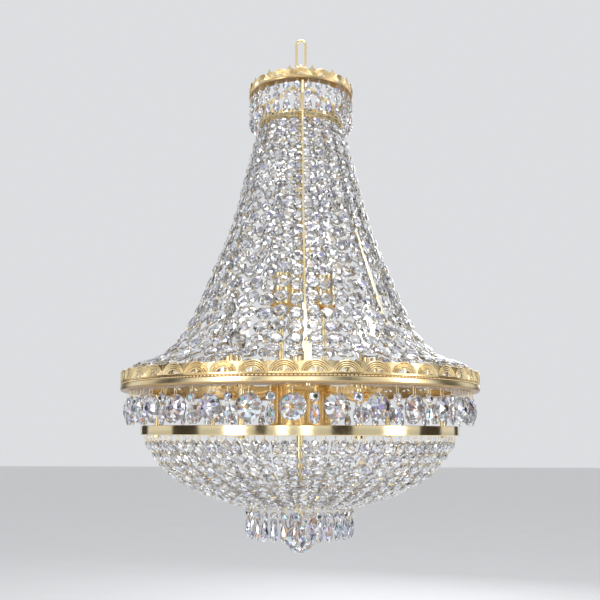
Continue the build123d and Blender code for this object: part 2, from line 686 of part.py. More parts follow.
bottom_stones, bottom_pins = crystal_string(bottom_r - fringe_inset, bottom_flange_z, bottom_fringe_drop,
                                            [octagon(small_octagon_d), almond(fringe_drop_length)])
save("bottom_octagons", around(pendant_sets, fringe_az, bottom_stones[0]))
save("bottom_drops", around(pendant_sets, fringe_az, bottom_stones[1]))
pins += [copy for pin in bottom_pins for copy in around(pendant_sets, fringe_az, pin)]
save("crystal_pins", pins)

# ---- Bottom cap and the ball that hangs from it ----
cap_r = cap_d / 2
cap_bore_z = stem_end_z - slip_clearance
bottom_cap = turned((stem_seat_r, bottom_spider_z), (cap_r, bottom_spider_z),
                    (cap_r, cap_bottom_z + cap_floor), (cap_r - 3, cap_bottom_z), (0, cap_bottom_z),
                    (0, cap_bore_z), (stem_seat_r, cap_bore_z))
bottom_cap += wire_ring(ball_eye_r, ball_eye_wire_d, (0, 0, ball_eye_z), (0, 1, 0))
save("bottom_cap", bottom_cap)

hook_r = (ball_hook_bore_d + ball_hook_wire_d) / 2
ball_pin = wire_ring(hook_r, ball_hook_wire_d, (0, 0, ball_hook_z), (1, 0, 0))
ball_pin += rod((0, 0, ball_hook_z - hook_r), (0, 0, ball_top_z - ball_pin_depth), ball_hook_wire_d)
save("ball_pin", ball_pin)
bore_end_z = ball_top_z - ball_pin_depth - 0.5
ball_bore = rod((0, 0, ball_top_z + 1), (0, 0, bore_end_z), ball_hook_wire_d + slip_clearance)
save("crystal_ball", Pos(0, 0, ball_top_z - ball_d / 2) * Sphere(ball_d / 2) - ball_bore)
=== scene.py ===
from collections import namedtuple
from math import asin, atan2, cos, pi, radians, sin, sqrt
from random import Random

import bmesh
import bpy
import numpy as np
from bpy.props import FloatProperty, FloatVectorProperty, IntProperty, PointerProperty
from mathutils import Matrix, Vector


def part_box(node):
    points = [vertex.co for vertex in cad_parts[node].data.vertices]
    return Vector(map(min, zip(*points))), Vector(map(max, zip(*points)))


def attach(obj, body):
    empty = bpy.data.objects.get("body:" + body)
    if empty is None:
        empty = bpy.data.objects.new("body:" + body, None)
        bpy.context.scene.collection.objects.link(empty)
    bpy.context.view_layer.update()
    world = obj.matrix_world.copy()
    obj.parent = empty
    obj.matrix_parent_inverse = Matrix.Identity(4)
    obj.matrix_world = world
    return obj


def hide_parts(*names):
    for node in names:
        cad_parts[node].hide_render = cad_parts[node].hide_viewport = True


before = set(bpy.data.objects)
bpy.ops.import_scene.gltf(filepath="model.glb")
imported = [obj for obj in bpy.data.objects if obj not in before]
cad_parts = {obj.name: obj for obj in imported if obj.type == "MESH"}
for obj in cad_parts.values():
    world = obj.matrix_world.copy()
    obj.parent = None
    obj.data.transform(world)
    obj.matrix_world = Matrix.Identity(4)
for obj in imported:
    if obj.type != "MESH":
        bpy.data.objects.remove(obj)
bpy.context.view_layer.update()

bl_info = {
    "name": "Crystal Basket Chandelier",
    "version": (1, 0, 0),
    "blender": (4, 5, 0),
    "location": "View3D > Sidebar > Chandelier",
    "description": "Finished looks of a basket chandelier of polished brass and cut crystal",
    "category": "Object",
}

# Metres, +Z up. Azimuths are seen from above: 0 is the front (-Y), 90 the right side (+X).
MM = 0.001
FIXTURE = "fixture"
BRASS_SLOT = "polished_brass"
CRYSTAL_SLOT = "clear_crystal"
HARD_EDGE = radians(35)

# The node trees and the materials, by name; the first step makes them.
growths = {}
finishes = {}

Ring = namedtuple("Ring", "radius top foot")


def ring_of(node):
    """Outer radius, top and foot of a ring-shaped node."""
    low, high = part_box(node)
    return Ring(high.x, high.z, low.z)


crown = ring_of("crown_rim")
crown_top = ring_of("crown_gallery").top
neck = ring_of("neck_ring")
main_ring = ring_of("main_rim")
main_ring_top = ring_of("main_gallery").top
band = ring_of("basket_band")
bottom = ring_of("bottom_ring")


# ---- Settings ----
class BrassSettings(bpy.types.PropertyGroup):
    """Colours and polish of the gold-plated brass, with its painted shade and painted warm bounce light."""
    pale: FloatVectorProperty(name="Pale gold", description="Colour of the polished plating", subtype="COLOR",
                              default=(0.97, 0.82, 0.50), min=0, max=1)
    # Deep gold is also the painted warm bounce light on the parts inside the chandelier.
    deep: FloatVectorProperty(name="Deep gold", description="Colour in hollows and worn plating",
                              subtype="COLOR", default=(0.84, 0.50, 0.13), min=0, max=1)
    # Painted shade: the dark brown painted into the grooves and onto the ground of cast relief, and along a
    # cast ring's foot.
    hollow: FloatVectorProperty(name="Hollow", description="Colour at the bottom of cast relief",
                                subtype="COLOR", default=(0.30, 0.13, 0.03), min=0, max=1)
    champagne: FloatVectorProperty(name="Champagne", description="Colour of the fine links", subtype="COLOR",
                                   default=(0.93, 0.86, 0.70), min=0, max=1)
    roughness: FloatProperty(name="Roughness", description="Blur of the polished faces", default=0.16,
                             min=0.02, max=1)


class CrystalSettings(bpy.types.PropertyGroup):
    """Colours of the cut crystal's facets, which are painted reflections, painted split light and painted
    highlights, and the depth of its cuts.
    """
    # Painted light: clear is the colour of the painted highlights and sparkles; dusk and amber are painted
    # reflections of the dark room and the brass; violet, sea and ember are painted split light.
    clear: FloatVectorProperty(name="Clear", description="Colour of a bright facet", subtype="COLOR",
                               default=(0.97, 0.985, 1.0), min=0, max=1)
    dusk: FloatVectorProperty(name="Dusk", description="Colour of a dark facet", subtype="COLOR",
                              default=(0.20, 0.22, 0.28), min=0, max=1)
    amber: FloatVectorProperty(name="Amber", description="Colour of a facet that returns the brass behind it",
                               subtype="COLOR", default=(0.85, 0.58, 0.22), min=0, max=1)
    violet: FloatVectorProperty(name="Violet", description="Colour of a facet that splits light",
                                subtype="COLOR", default=(0.42, 0.34, 0.80), min=0, max=1)
    sea: FloatVectorProperty(name="Sea", description="Blue-green colour of split light", subtype="COLOR",
                             default=(0.25, 0.72, 0.80), min=0, max=1)
    ember: FloatVectorProperty(name="Ember", description="Red colour of split light", subtype="COLOR",
                               default=(0.85, 0.32, 0.18), min=0, max=1)
    mirrors: FloatProperty(name="Mirrors", description="Share of the facets that throw the light back",
                           default=0.38, min=0, max=1)
    transmission: FloatProperty(name="Clearness", description="Share of the light that passes through",
                                default=0.86, min=0, max=1)
    thickness: FloatProperty(name="Bead thickness", description="Thickness of a strung bead",
                             default=6.2 * MM, min=2 * MM, max=12 * MM, subtype="DISTANCE", unit="LENGTH")


class StrandSettings(bpy.types.PropertyGroup):
    """How the strands of the curtain and the basket are strung."""
    curtain_strands: IntProperty(name="Curtain strands", description="Strands from neck to main ring",
                                 default=48, min=8, max=96)
    curtain_gap: FloatProperty(name="Curtain gap", description="Gap between two curtain beads",
                               default=3.4 * MM, min=1 * MM, max=8 * MM, subtype="DISTANCE", unit="LENGTH")
    basket_strands: IntProperty(name="Basket strands", description="Strands from band to bottom ring",
                                default=78, min=8, max=120)
    basket_gap: FloatProperty(name="Basket gap", description="Gap between two basket beads",
                              default=2.2 * MM, min=1 * MM, max=8 * MM, subtype="DISTANCE", unit="LENGTH")
    wire: FloatProperty(name="Link wire", description="Wire of the brass links between crystals",
                        default=0.75 * MM, min=0.4 * MM, max=2 * MM, subtype="DISTANCE", unit="LENGTH")
    twist: FloatProperty(name="Twist", description="How far a bead may hang turned", default=radians(9),
                         min=0, max=pi / 4, subtype="ANGLE")


class GallerySettings(bpy.types.PropertyGroup):
    """The pierced arcades on the crown and the main ring."""
    main_bays: IntProperty(name="Main bays", description="Arches round the main ring", default=44,
                           min=12, max=90)
    crown_bays: IntProperty(name="Crown bays", description="Arches round the crown", default=15,
                            min=6, max=40)
    relief: FloatProperty(name="Relief", description="Height of the raised mouldings", default=1.2 * MM,
                          min=0.2 * MM, max=2 * MM, subtype="DISTANCE", unit="LENGTH")


class PendantSettings(bpy.types.PropertyGroup):
    """The crystals hung round the three lower rings and the crown."""
    sets: IntProperty(name="Sets", description="Pendants round each ring", default=30, min=8, max=60)
    swing: FloatProperty(name="Swing", description="How far a pendant may hang turned", default=radians(14),
                         min=0, max=pi / 4, subtype="ANGLE")


class StageSettings(bpy.types.PropertyGroup):
    """Floor, backdrop, lamps and camera."""
    backdrop: FloatVectorProperty(name="Backdrop", description="Colour of the floor and the backdrop",
                                  subtype="COLOR", default=(0.72, 0.73, 0.75), min=0, max=1)
    world: FloatProperty(name="Ambient", description="Strength of the even light", default=0.6, min=0, max=2)
    softbox: FloatProperty(name="Softbox", description="Power of one softbox in watts", default=16,
                           min=0, max=200)
    floor_drop: FloatProperty(name="Floor drop", description="Floor below the crystal ball", default=0.42,
                              min=0.05, max=2, subtype="DISTANCE", unit="LENGTH")


# ---- Node trees ----
class Value:
    """A node's output that is used in expressions; each operator adds its Math node."""

    def __init__(self, nodes, socket):
        self.nodes, self.socket = nodes, socket

    def apply(self, operation, *values):
        """The Math node of one operation on this value and others."""
        return self.nodes.math(operation, self, *values)

    def __add__(self, other):
        return self.apply("ADD", other)

    def __sub__(self, other):
        return self.apply("SUBTRACT", other)

    def __rsub__(self, other):
        return self.nodes.math("SUBTRACT", other, self)

    def __mul__(self, other):
        return self.apply("MULTIPLY", other)

    def __truediv__(self, other):
        return self.apply("DIVIDE", other)

    __radd__ = __add__
    __rmul__ = __mul__


class Nodes:
    """A node tree that is being built."""

    def __init__(self, tree):
        self.tree = tree
        tree.nodes.clear()

    def add(self, kind, settings=None, inputs=None):
        """One node: its settings first, then a value or a link for each named or numbered input."""
        node = self.tree.nodes.new(kind)
        for name, value in (settings or {}).items():
            if name == "stops":
                self.set_stops(node.color_ramp, value)
            else:
                setattr(node, name, value)
        for name, value in (inputs or {}).items():
            value = value.socket if isinstance(value, Value) else value
            if isinstance(value, bpy.types.NodeSocket):
                self.tree.links.new(value, node.inputs[name])
            else:
                node.inputs[name].default_value = value
        return node

    @staticmethod
    def set_stops(ramp, stops):
        while len(ramp.elements) < len(stops):
            ramp.elements.new(1)
        for element, (place, colour) in zip(ramp.elements, stops):
            element.position, element.color = place, colour

    def value(self, node, output=0):
        return Value(self, node.outputs[output])

    def math(self, operation, *values):
        node = self.add("ShaderNodeMath", {"operation": operation}, dict(enumerate(values)))
        return Value(self, node.outputs[0])

    def blend(self, factor, first, second):
        """The colour between two colours, from factor 0 to 1."""
        node = self.add("ShaderNodeMix", {"data_type": "RGBA"}, {0: factor, 6: first, 7: second})
        return node.outputs[2]

    def place(self):
        """Each point's place on its own piece."""
        return self.add("ShaderNodeTexCoord").outputs["Object"]

    def noise(self, scale, detail=2.0):
        """Soft clouds, from 0 to 1; the scale is their number in a metre."""
        inputs = {"Vector": self.place(), "Scale": scale, "Detail": detail}
        return self.add("ShaderNodeTexNoise", None, inputs)

    def carried(self, value, low, high, first, last):
        """A value carried from one range to another, and held at its ends."""
        return self.add("ShaderNodeMapRange", None, {0: value, 1: low, 2: high, 3: first, 4: last}).outputs[0]

    def attribute(self, name):
        """A number that the mesh stores."""
        return self.value(self.add("ShaderNodeAttribute", {"attribute_name": name}), "Fac")

    def bump(self, strength, distance, height):
        """The normal of a surface with small hills of this distance."""
        inputs = {"Strength": strength, "Distance": distance, "Height": height}
        return self.add("ShaderNodeBump", None, inputs).outputs[0]

    def rotation(self, **angles):
        """A rotation by angles about X, Y and Z."""
        vector = self.add("ShaderNodeCombineXYZ", None, angles)
        return self.add("FunctionNodeEulerToRotation", None, {0: vector.outputs[0]}).outputs[0]


def rgba(colour):
    return (*colour, 1.0)


def new_material(name):
    """An empty material and its nodes."""
    material = bpy.data.materials.new(name)
    material.use_nodes = True
    return material, Nodes(material.node_tree)


def close_material(nodes, inputs):
    """The material's one shader, and its output."""
    shader = nodes.add("ShaderNodeBsdfPrincipled", None, inputs)
    nodes.add("ShaderNodeOutputMaterial", None, {"Surface": shader.outputs[0]})


GRAIN = 220.0


def brass_finish(name, polish=1.0, age=0.25, cast=False, bounce_warmth=0.0):
    """Gold-plated brass: cloudy plating, darker where it is worn, with a fine drawn grain.

    A cast piece also carries how deep each point lies in its relief, and is painted darkest there, as painted
    shade."""
    brass = bpy.context.scene.chandelier_brass
    material, nodes = new_material(name)
    cloud, speck = nodes.noise(38.0, detail=3.0), nodes.noise(GRAIN)
    worn = nodes.carried(cloud.outputs[0], 0.42, 0.72, 0.0, age)
    # Painted warm bounce light: a piece inside the chandelier has its pale gold moved towards the deep gold.
    pale = [(1 - bounce_warmth) * light + bounce_warmth * dark for light, dark in zip(brass.pale, brass.deep)]
    colour = nodes.blend(worn, rgba(pale), rgba(brass.deep))
    # Painted shade: the depth stored on the mesh darkens the gold towards the dark brown.
    if cast:
        depth = nodes.carried(nodes.attribute("hollow"), 0.2, 0.8, 0.0, 0.96)
        colour = nodes.blend(depth, colour, rgba(brass.hollow))
    rough = nodes.value(speck) * 0.08 + nodes.value(cloud) * 0.06 + (brass.roughness * polish - 0.07)
    bump = nodes.bump(0.08, 0.3 * MM, speck.outputs[0])
    close_material(nodes, {"Base Color": colour, "Metallic": 1.0, "Roughness": rough, "Normal": bump})
    return material


def wire_finish():
    """Fine pale wire, slightly uneven in colour from link to link."""
    brass = bpy.context.scene.chandelier_brass
    material, nodes = new_material("link_wire_finish")
    cloud = nodes.noise(90.0)
    colour = nodes.blend(cloud.outputs[0], rgba(brass.champagne), rgba(brass.pale))
    rough = nodes.value(cloud) * 0.12 + 0.14
    close_material(nodes, {"Base Color": colour, "Metallic": 1.0, "Roughness": rough})
    return material


# How far a stone's own chance shifts the tones of its facets, and how tone and chance pick its mirrors.
TONE_SHIFT = 7.0
MIRROR_TONE, MIRROR_SHIFT = 3.0, 5.0


def crystal_finish(name, tones):
    """Cut crystal: each facet returns its own part of the room, so each has its own tone, painted in its
    colour as a reflection.

    The facets carry a tone, which picks a painted reflection or painted split light, and a painted highlight,
    and each hung stone shifts the tones of its facets; small painted sparkles brighten the rest."""
    crystal = bpy.context.scene.chandelier_crystal
    material, nodes = new_material(name)
    tone, gleam, hang = nodes.attribute("tone"), nodes.attribute("gleam"), nodes.attribute("hang")
    shifted = (tone + hang * TONE_SHIFT).apply("FRACT")
    # Painted reflections: the shifted tone picks each facet's colour from the ramp.
    ramp = nodes.add("ShaderNodeValToRGB", {"stops": tones}, {"Fac": shifted})
    sparkle_cells = nodes.add("ShaderNodeTexVoronoi", None, {"Vector": nodes.place(), "Scale": 520.0})
    # Painted highlight: each facet's highlight mixes its colour towards clear.
    mixed = nodes.blend(gleam, ramp.outputs["Color"], rgba(crystal.clear))
    # Painted sparkles: small bright spots mix the colour towards clear.
    painted_sparkle = nodes.carried(sparkle_cells.outputs["Distance"], 0.1, 0.5, 0.35, 0.0)
    colour = nodes.blend(painted_sparkle, mixed, rgba(crystal.clear))
    rough = nodes.value(sparkle_cells, "Distance") * 0.04 + 0.01
    chance = (tone * MIRROR_TONE + hang * MIRROR_SHIFT).apply("FRACT")
    mirror = chance.apply("GREATER_THAN", 1.0 - crystal.mirrors)
    close_material(nodes, {
        "Base Color": colour, "Roughness": rough, "IOR": 1.56, "Metallic": mirror * 0.9,
        "Transmission Weight": crystal.transmission, "Specular IOR Level": 0.9})
    return material


def strung_reflection_tones():
    """Painted reflection colours of the small beads: mostly clear and pale, some dusk and amber."""
    crystal = bpy.context.scene.chandelier_crystal
    clear, dusk = crystal.clear, crystal.dusk
    pale = tuple(0.55 * light + 0.45 * dark for light, dark in zip(clear, dusk))
    tones = [(0.0, dusk), (0.10, clear), (0.30, clear), (0.42, pale), (0.52, dusk), (0.60, clear),
             (0.72, crystal.amber), (0.78, clear), (0.90, pale), (0.96, crystal.violet), (1.0, dusk)]
    return [(place, rgba(colour)) for place, colour in tones]


def pendant_reflection_tones():
    """Painted reflection colours of the large stones, with painted split light in several colours."""
    crystal = bpy.context.scene.chandelier_crystal
    clear, dusk, violet = crystal.clear, crystal.dusk, crystal.violet
    tones = [(0.0, dusk), (0.10, clear), (0.26, clear), (0.34, violet), (0.42, dusk), (0.50, clear),
             (0.60, crystal.sea), (0.66, clear), (0.76, crystal.amber), (0.82, crystal.ember), (0.87, clear),
             (0.94, violet), (1.0, dusk)]
    return [(place, rgba(colour)) for place, colour in tones]


def clear_glass():
    """Thin blown glass with a faint warm cloud."""
    material, nodes = new_material("bulb_glass_finish")
    cloud = nodes.noise(60.0)
    colour = nodes.blend(cloud.outputs[0], (1.0, 0.99, 0.96, 1.0), (0.94, 0.95, 0.95, 1.0))
    rough = nodes.value(cloud) * 0.05
    close_material(nodes, {"Base Color": colour, "Roughness": rough, "IOR": 1.45, "Transmission Weight": 1.0})
    return material


def moulded_plastic():
    """Cream insulating plastic with a fine mould grain."""
    material, nodes = new_material("lamp_plastic_finish")
    grain = nodes.noise(900.0, detail=3.0)
    colour = nodes.blend(grain.outputs[0], (0.84, 0.80, 0.70, 1.0), (0.90, 0.87, 0.79, 1.0))
    bump = nodes.bump(0.2, 0.1 * MM, grain.outputs[0])
    close_material(nodes, {"Base Color": colour, "Roughness": 0.5, "Normal": bump})
    return material


THREAD_PITCH = 2.8 * MM


def lamp_cap_metal():
    """Thin nickel-plated brass, rolled into a thread."""
    material, nodes = new_material("lamp_cap_finish")
    height = nodes.value(nodes.add("ShaderNodeSeparateXYZ", None, {"Vector": nodes.place()}), "Z")
    thread = (height * (2 * pi / THREAD_PITCH)).apply("SINE")
    stain = nodes.noise(300.0)
    colour = nodes.blend(stain.outputs[0], (0.62, 0.60, 0.56, 1.0), (0.80, 0.79, 0.76, 1.0))
    bump = nodes.bump(0.8, 0.8 * MM, thread)
    rough = nodes.value(stain) * 0.2 + 0.2
    close_material(nodes, {"Base Color": colour, "Metallic": 1.0, "Roughness": rough, "Normal": bump})
    return material


# ---- Making pieces ----
def mesh_from(name, vertices, faces, sharp=None):
    """A closed mesh with its faces outwards; sharp is the angle past which an edge stays hard."""
    mesh = bpy.data.meshes.new(name)
    mesh.from_pydata([tuple(v) for v in vertices], [], faces)
    work = bmesh.new()
    work.from_mesh(mesh)
    bmesh.ops.remove_doubles(work, verts=work.verts, dist=1e-7)
    bmesh.ops.recalc_face_normals(work, faces=work.faces)
    work.to_mesh(mesh)
    work.free()
    if sharp is not None:
        mesh.shade_smooth()
        mesh.set_sharp_from_angle(angle=sharp)
    return mesh


def new_object(name, data):
    """A scene object at the origin."""
    made = bpy.data.objects.new(name, data)
    bpy.context.scene.collection.objects.link(made)
    return made


def add_piece(name, mesh, material, body=FIXTURE, replaces=()):
    """A finished piece of the object: its body, its finish and the nodes that it stands for."""
    piece = new_object(name, mesh)
    mesh.materials.clear()
    mesh.materials.append(material)
    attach(piece, body)
    if replaces:
        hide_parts(*replaces)
    return piece


def turned_mesh(name, profile, segments=192):
    """A ring turned about Z from a closed (radius, z) profile."""
    count = len(profile)
    vertices, faces = [], []
    for step in range(segments):
        angle = 2 * pi * step / segments
        vertices += [(radius * sin(angle), -radius * cos(angle), z) for radius, z in profile]
        ahead = (step + 1) % segments
        for index in range(count):
            after = (index + 1) % count
            faces.append((step * count + index, step * count + after, ahead * count + after,
                          ahead * count + index))
    return mesh_from(name, vertices, faces, HARD_EDGE)


def joined(name, meshes):
    """One mesh of several."""
    work = bmesh.new()
    for mesh in meshes:
        work.from_mesh(mesh)
    mesh = bpy.data.meshes.new(name)
    work.to_mesh(mesh)
    work.free()
    mesh.shade_smooth()
    mesh.set_sharp_from_angle(angle=HARD_EDGE)
    return mesh


# ---- Faceted stones, facing +X with their string along Z ----
def mark_facets(mesh, rim_share, seed):
    """Give every facet a tone, and a painted highlight that is strongest on the lower rim."""
    random = Random(seed)
    reach = max(Vector((0, v.co.y, v.co.z)).length for v in mesh.vertices)
    tone = mesh.attributes.new("tone", "FLOAT", "FACE")
    gleam = mesh.attributes.new("gleam", "FLOAT", "FACE")
    for face in mesh.polygons:
        centre = face.center
        outer = Vector((0, centre.y, centre.z)).length / reach > rim_share
        tone.data[face.index].value = random.random()
        # Painted highlight: outer facets are painted bright, brightest on the lower rim; inner facets get a
        # little at random.
        rim_highlight = 0.95 if centre.z < 0 else 0.55
        gleam.data[face.index].value = rim_highlight if outer else random.uniform(0.0, 0.25)


def stone(name, outline, count, rings, seed, rim_share=0.7):
    """A cut stone from rings of (share of the outline, x, turn in steps), with flat ends."""
    vertices, faces = [], []
    for share, x, turn in rings:
        for step in range(count):
            y, z = outline((step + turn) % count)
            vertices.append((x, share * y, share * z))
    for row, (lower, upper) in enumerate(zip(rings[:-1], rings[1:])):
        first, second = row * count, (row + 1) * count
        lean = round(2 * (upper[2] - lower[2]))
        for step in range(count):
            ahead = (step + 1) % count
            a, b, c, d = first + step, first + ahead, second + step, second + ahead
            if lean > 0:
                faces += [(a, b, c), (b, d, c)]
            elif lean < 0:
                faces += [(a, d, c), (a, b, d)]
            else:
                faces.append((a, b, d, c))
    faces += [tuple(range(count)), tuple(range(len(vertices) - count, len(vertices)))]
    mesh = mesh_from(name, vertices, faces)
    mark_facets(mesh, rim_share, seed)
    return mesh


def polygon_outline(count, turn=0.5):
    """Corners of a regular polygon of half-width 0.5, with a flat at the top where turn is 0.5."""
    def corner(step):
        angle = 2 * pi * (step + turn) / count
        return 0.5 * sin(angle), 0.5 * cos(angle)
    return corner


def bead_mesh():
    """An octagon bead of width 1 and thickness 1: a table, stars and kites on both faces."""
    rings = [(0.42, -0.5, 0), (0.70, -0.40, 0.5), (1.0, -0.13, 0), (1.0, 0.13, 0), (0.70, 0.40, -0.5),
             (0.42, 0.5, 0)]
    return stone("bead", polygon_outline(8), 8, rings, seed=3)


def round_stone_mesh():
    """A star-cut round crystal of width 1 and thickness 1, with two rows of long facets a side."""
    rings = [(0.16, -0.5, 0), (0.46, -0.44, 0.5), (0.80, -0.24, 0), (1.0, -0.08, 0.5), (1.0, 0.08, 0.5),
             (0.78, 0.26, 0), (0.44, 0.44, 0.5), (0.20, 0.5, 0)]
    return stone("round_stone", polygon_outline(16, 0), 16, rings, seed=11, rim_share=0.82)


def almond_outline(length, width):
    """Corners of a teardrop that hangs by its narrow end, from its centre."""
    sides = [(0.20, 0.5), (0.34, 0.30), (0.46, 0.05), (0.5, -0.16), (0.40, -0.34), (0.20, -0.45)]
    points = [(y * width, z * length) for y, z in sides] + [(0, -0.5 * length)]
    points += [(-y * width, z * length) for y, z in reversed(sides)]
    count = len(points)

    def corner(step):
        low = int(step) % count
        share = step - int(step)
        after = (low + 1) % count
        return tuple((1 - share) * points[low][axis] + share * points[after][axis] for axis in (0, 1))
    return corner, count


def almond_mesh(length, width, thickness):
    """A flat teardrop with a table and two rows of facets a side, hung below the origin."""
    corner, count = almond_outline(length, width)
    half = thickness / 2
    rings = [(0.34, -half, 0), (0.68, -0.72 * half, 0.5), (1.0, -0.2 * half, 0), (1.0, 0.2 * half, 0),
             (0.68, 0.72 * half, -0.5), (0.34, half, 0)]
    mesh = stone("almond", corner, count, rings, seed=7)
    mesh.transform(Matrix.Translation((0, 0, -length / 2)))
    return mesh


def ball_mesh(radius, columns=18, rows=11):
    """A faceted ball: rows of triangles between two small tables."""
    rings = []
    for row in range(rows + 1):
        polar = pi * (0.045 + 0.91 * row / rows)
        rings.append((sin(polar), radius * cos(polar), 0.5 * (row % 2)))

    def outline(step):
        angle = 2 * pi * step / columns
        return radius * sin(angle), radius * cos(angle)

    mesh = stone("ball", outline, columns, rings, seed=5, rim_share=2.0)
    mesh.transform(Matrix.Rotation(-pi / 2, 4, "Y"))
    return mesh


def wire_loop_mesh(name, length, width, wire, steps=12, sides=5):
    """A closed wire loop with round ends in the XZ plane, hung below the origin."""
    end = width / 2
    centre = [(end * sin(angle), (length / 2 - end) * (1 if cos(angle) >= 0 else -1) + end * cos(angle))
              for angle in (2 * pi * (step + 0.5) / steps for step in range(steps))]
    vertices, faces = [], []
    for step, (x, z) in enumerate(centre):
        before, after = centre[step - 1], centre[(step + 1) % steps]
        along = Vector((after[0] - before[0], 0, after[1] - before[1])).normalized()
        out = Vector((along.z, 0, -along.x))
        for side in range(sides):
            angle = 2 * pi * side / sides
            point = Vector((x, 0, z)) + wire / 2 * (cos(angle) * out + sin(angle) * Vector((0, 1, 0)))
            vertices.append(point - Vector((0, 0, length / 2)))
            ahead = (step + 1) % steps * sides
            faces.append((step * sides + side, step * sides + (side + 1) % sides, ahead + (side + 1) % sides,
                          ahead + side))
    return mesh_from(name, vertices, faces, sharp=pi)


# ---- Geometry node trees ----
class Growth:
    """A geometry node tree with named inputs, and the plain mesh that it leaves."""

    def __init__(self, name, inputs):
        self.tree = bpy.data.node_groups.new(name, "GeometryNodeTree")
        self.nodes = Nodes(self.tree)
        self.sockets = {}
        for label, kind in (("Geometry", "NodeSocketGeometry"), *inputs.items()):
            socket = self.tree.interface.new_socket(label, in_out="INPUT", socket_type=kind)
            self.sockets[label] = socket.identifier
        self.tree.interface.new_socket("Geometry", in_out="OUTPUT", socket_type="NodeSocketGeometry")
        self.given = self.nodes.add("NodeGroupInput").outputs

    def input(self, label):
        return Value(self.nodes, self.given[label])

    def close(self, copies):
        """Join the copies into one mesh, with its material."""
        real = self.nodes.add("GeometryNodeRealizeInstances", None, {"Geometry": copies})
        set_node = self.nodes.add("GeometryNodeSetMaterial", None,
                                  {"Geometry": real.outputs[0], "Material": self.given["Material"]})
        self.nodes.add("NodeGroupOutput", None, {0: set_node.outputs[0]})

    def grow(self, name, base_mesh, values):
        """The tree's result on a mesh, as a plain mesh."""
        base = new_object(name + "_base", base_mesh)
        modifier = base.modifiers.new("Growth", "NODES")
        modifier.node_group = self.tree
        for label, value in values.items():
            modifier[self.sockets[label]] = value
        depsgraph = bpy.context.evaluated_depsgraph_get()
        mesh = bpy.data.meshes.new_from_object(base.evaluated_get(depsgraph), preserve_all_data_layers=True,
                                               depsgraph=depsgraph)
        mesh.name = name
        base.modifiers.clear()
        bpy.data.objects.remove(base)
        return mesh


def azimuth_points(growth):
    """Points on the axis, one for each copy, and the azimuth that each one faces."""
    nodes = growth.nodes
    index = nodes.value(nodes.add("GeometryNodeInputIndex"))
    azimuth = growth.input("First Azimuth") + index * (2 * pi) / growth.input("Copies") - pi / 2
    points = nodes.add("GeometryNodePoints", None, {"Count": growth.given["Copies"]})
    return points.outputs[0], azimuth


def random_turn(growth):
    """A small turn about the upright, different for each copy."""
    nodes = growth.nodes
    twist = growth.input("Twist")
    turn = nodes.add("FunctionNodeRandomValue", {"data_type": "FLOAT"},
                     {2: -1.0 * twist, 3: twist, "Seed": growth.given["Seed"]})
    return nodes.rotation(Z=turn.outputs[1])


def copied(growth, points, stand, **scale):
    """Copies of the piece on points, each with its own small turn and a chance that its material reads."""
    nodes = growth.nodes
    turned = nodes.add("FunctionNodeRotateRotation", {"rotation_space": "LOCAL"},
                       {0: stand, 1: random_turn(growth)})
    piece = nodes.add("GeometryNodeObjectInfo", None, {"Object": growth.given["Piece"]})
    copies = nodes.add("GeometryNodeInstanceOnPoints", None, {
        "Points": points, "Instance": piece.outputs["Geometry"], "Rotation": turned.outputs[0], **scale})
    chance = nodes.add("FunctionNodeRandomValue", {"data_type": "FLOAT"}, {"Seed": growth.given["Seed"]})
    return nodes.add("GeometryNodeStoreNamedAttribute", {"data_type": "FLOAT", "domain": "INSTANCE"},
                     {"Geometry": copies.outputs[0], "Name": "hang", "Value": chance.outputs[1]}).outputs[0]


COPY_INPUTS = {"Piece": "NodeSocketObject", "Copies": "NodeSocketInt", "First Azimuth": "NodeSocketFloat",
               "Twist": "NodeSocketFloat", "Seed": "NodeSocketInt", "Material": "NodeSocketMaterial"}


def strand_growth():
    """Copies of a piece on each point of a strand, and copies of the strand round the axis."""
    growth = Growth("Strands", COPY_INPUTS)
    nodes = growth.nodes
    points, azimuth = azimuth_points(growth)
    strands = nodes.add("GeometryNodeInstanceOnPoints", None, {
        "Points": points, "Instance": growth.given["Geometry"], "Rotation": nodes.rotation(Z=azimuth)})
    marked = nodes.add("GeometryNodeStoreNamedAttribute", {"data_type": "FLOAT", "domain": "INSTANCE"},
                       {"Geometry": strands.outputs[0], "Name": "azimuth", "Value": azimuth})
    places = nodes.add("GeometryNodeRealizeInstances", None, {"Geometry": marked.outputs[0]})
    facing = nodes.add("GeometryNodeInputNamedAttribute", {"data_type": "FLOAT"}, {"Name": "azimuth"})
    lean = nodes.add("GeometryNodeInputNamedAttribute", {"data_type": "FLOAT"}, {"Name": "lean"})
    size = nodes.add("GeometryNodeInputNamedAttribute", {"data_type": "FLOAT_VECTOR"}, {"Name": "size"})
    stand = nodes.rotation(Y=lean.outputs[0], Z=facing.outputs[0])
    growth.close(copied(growth, places.outputs[0], stand, Scale=size.outputs[0]))
    return growth


def ring_growth():
    """Copies of a piece at one radius and height, evenly round the axis."""
    place_inputs = {"Radius": "NodeSocketFloat", "Height": "NodeSocketFloat"}
    growth = Growth("Ring of Pieces", {**COPY_INPUTS, **place_inputs})
    nodes = growth.nodes
    points, azimuth = azimuth_points(growth)
    radius = growth.input("Radius")
    place = nodes.add("ShaderNodeCombineXYZ", None, {
        "X": radius * azimuth.apply("COSINE"), "Y": radius * azimuth.apply("SINE"),
        "Z": growth.given["Height"]})
    placed = nodes.add("GeometryNodeSetPosition", None, {"Geometry": points, "Position": place.outputs[0]})
    growth.close(copied(growth, placed.outputs[0], nodes.rotation(Z=azimuth)))
    return growth


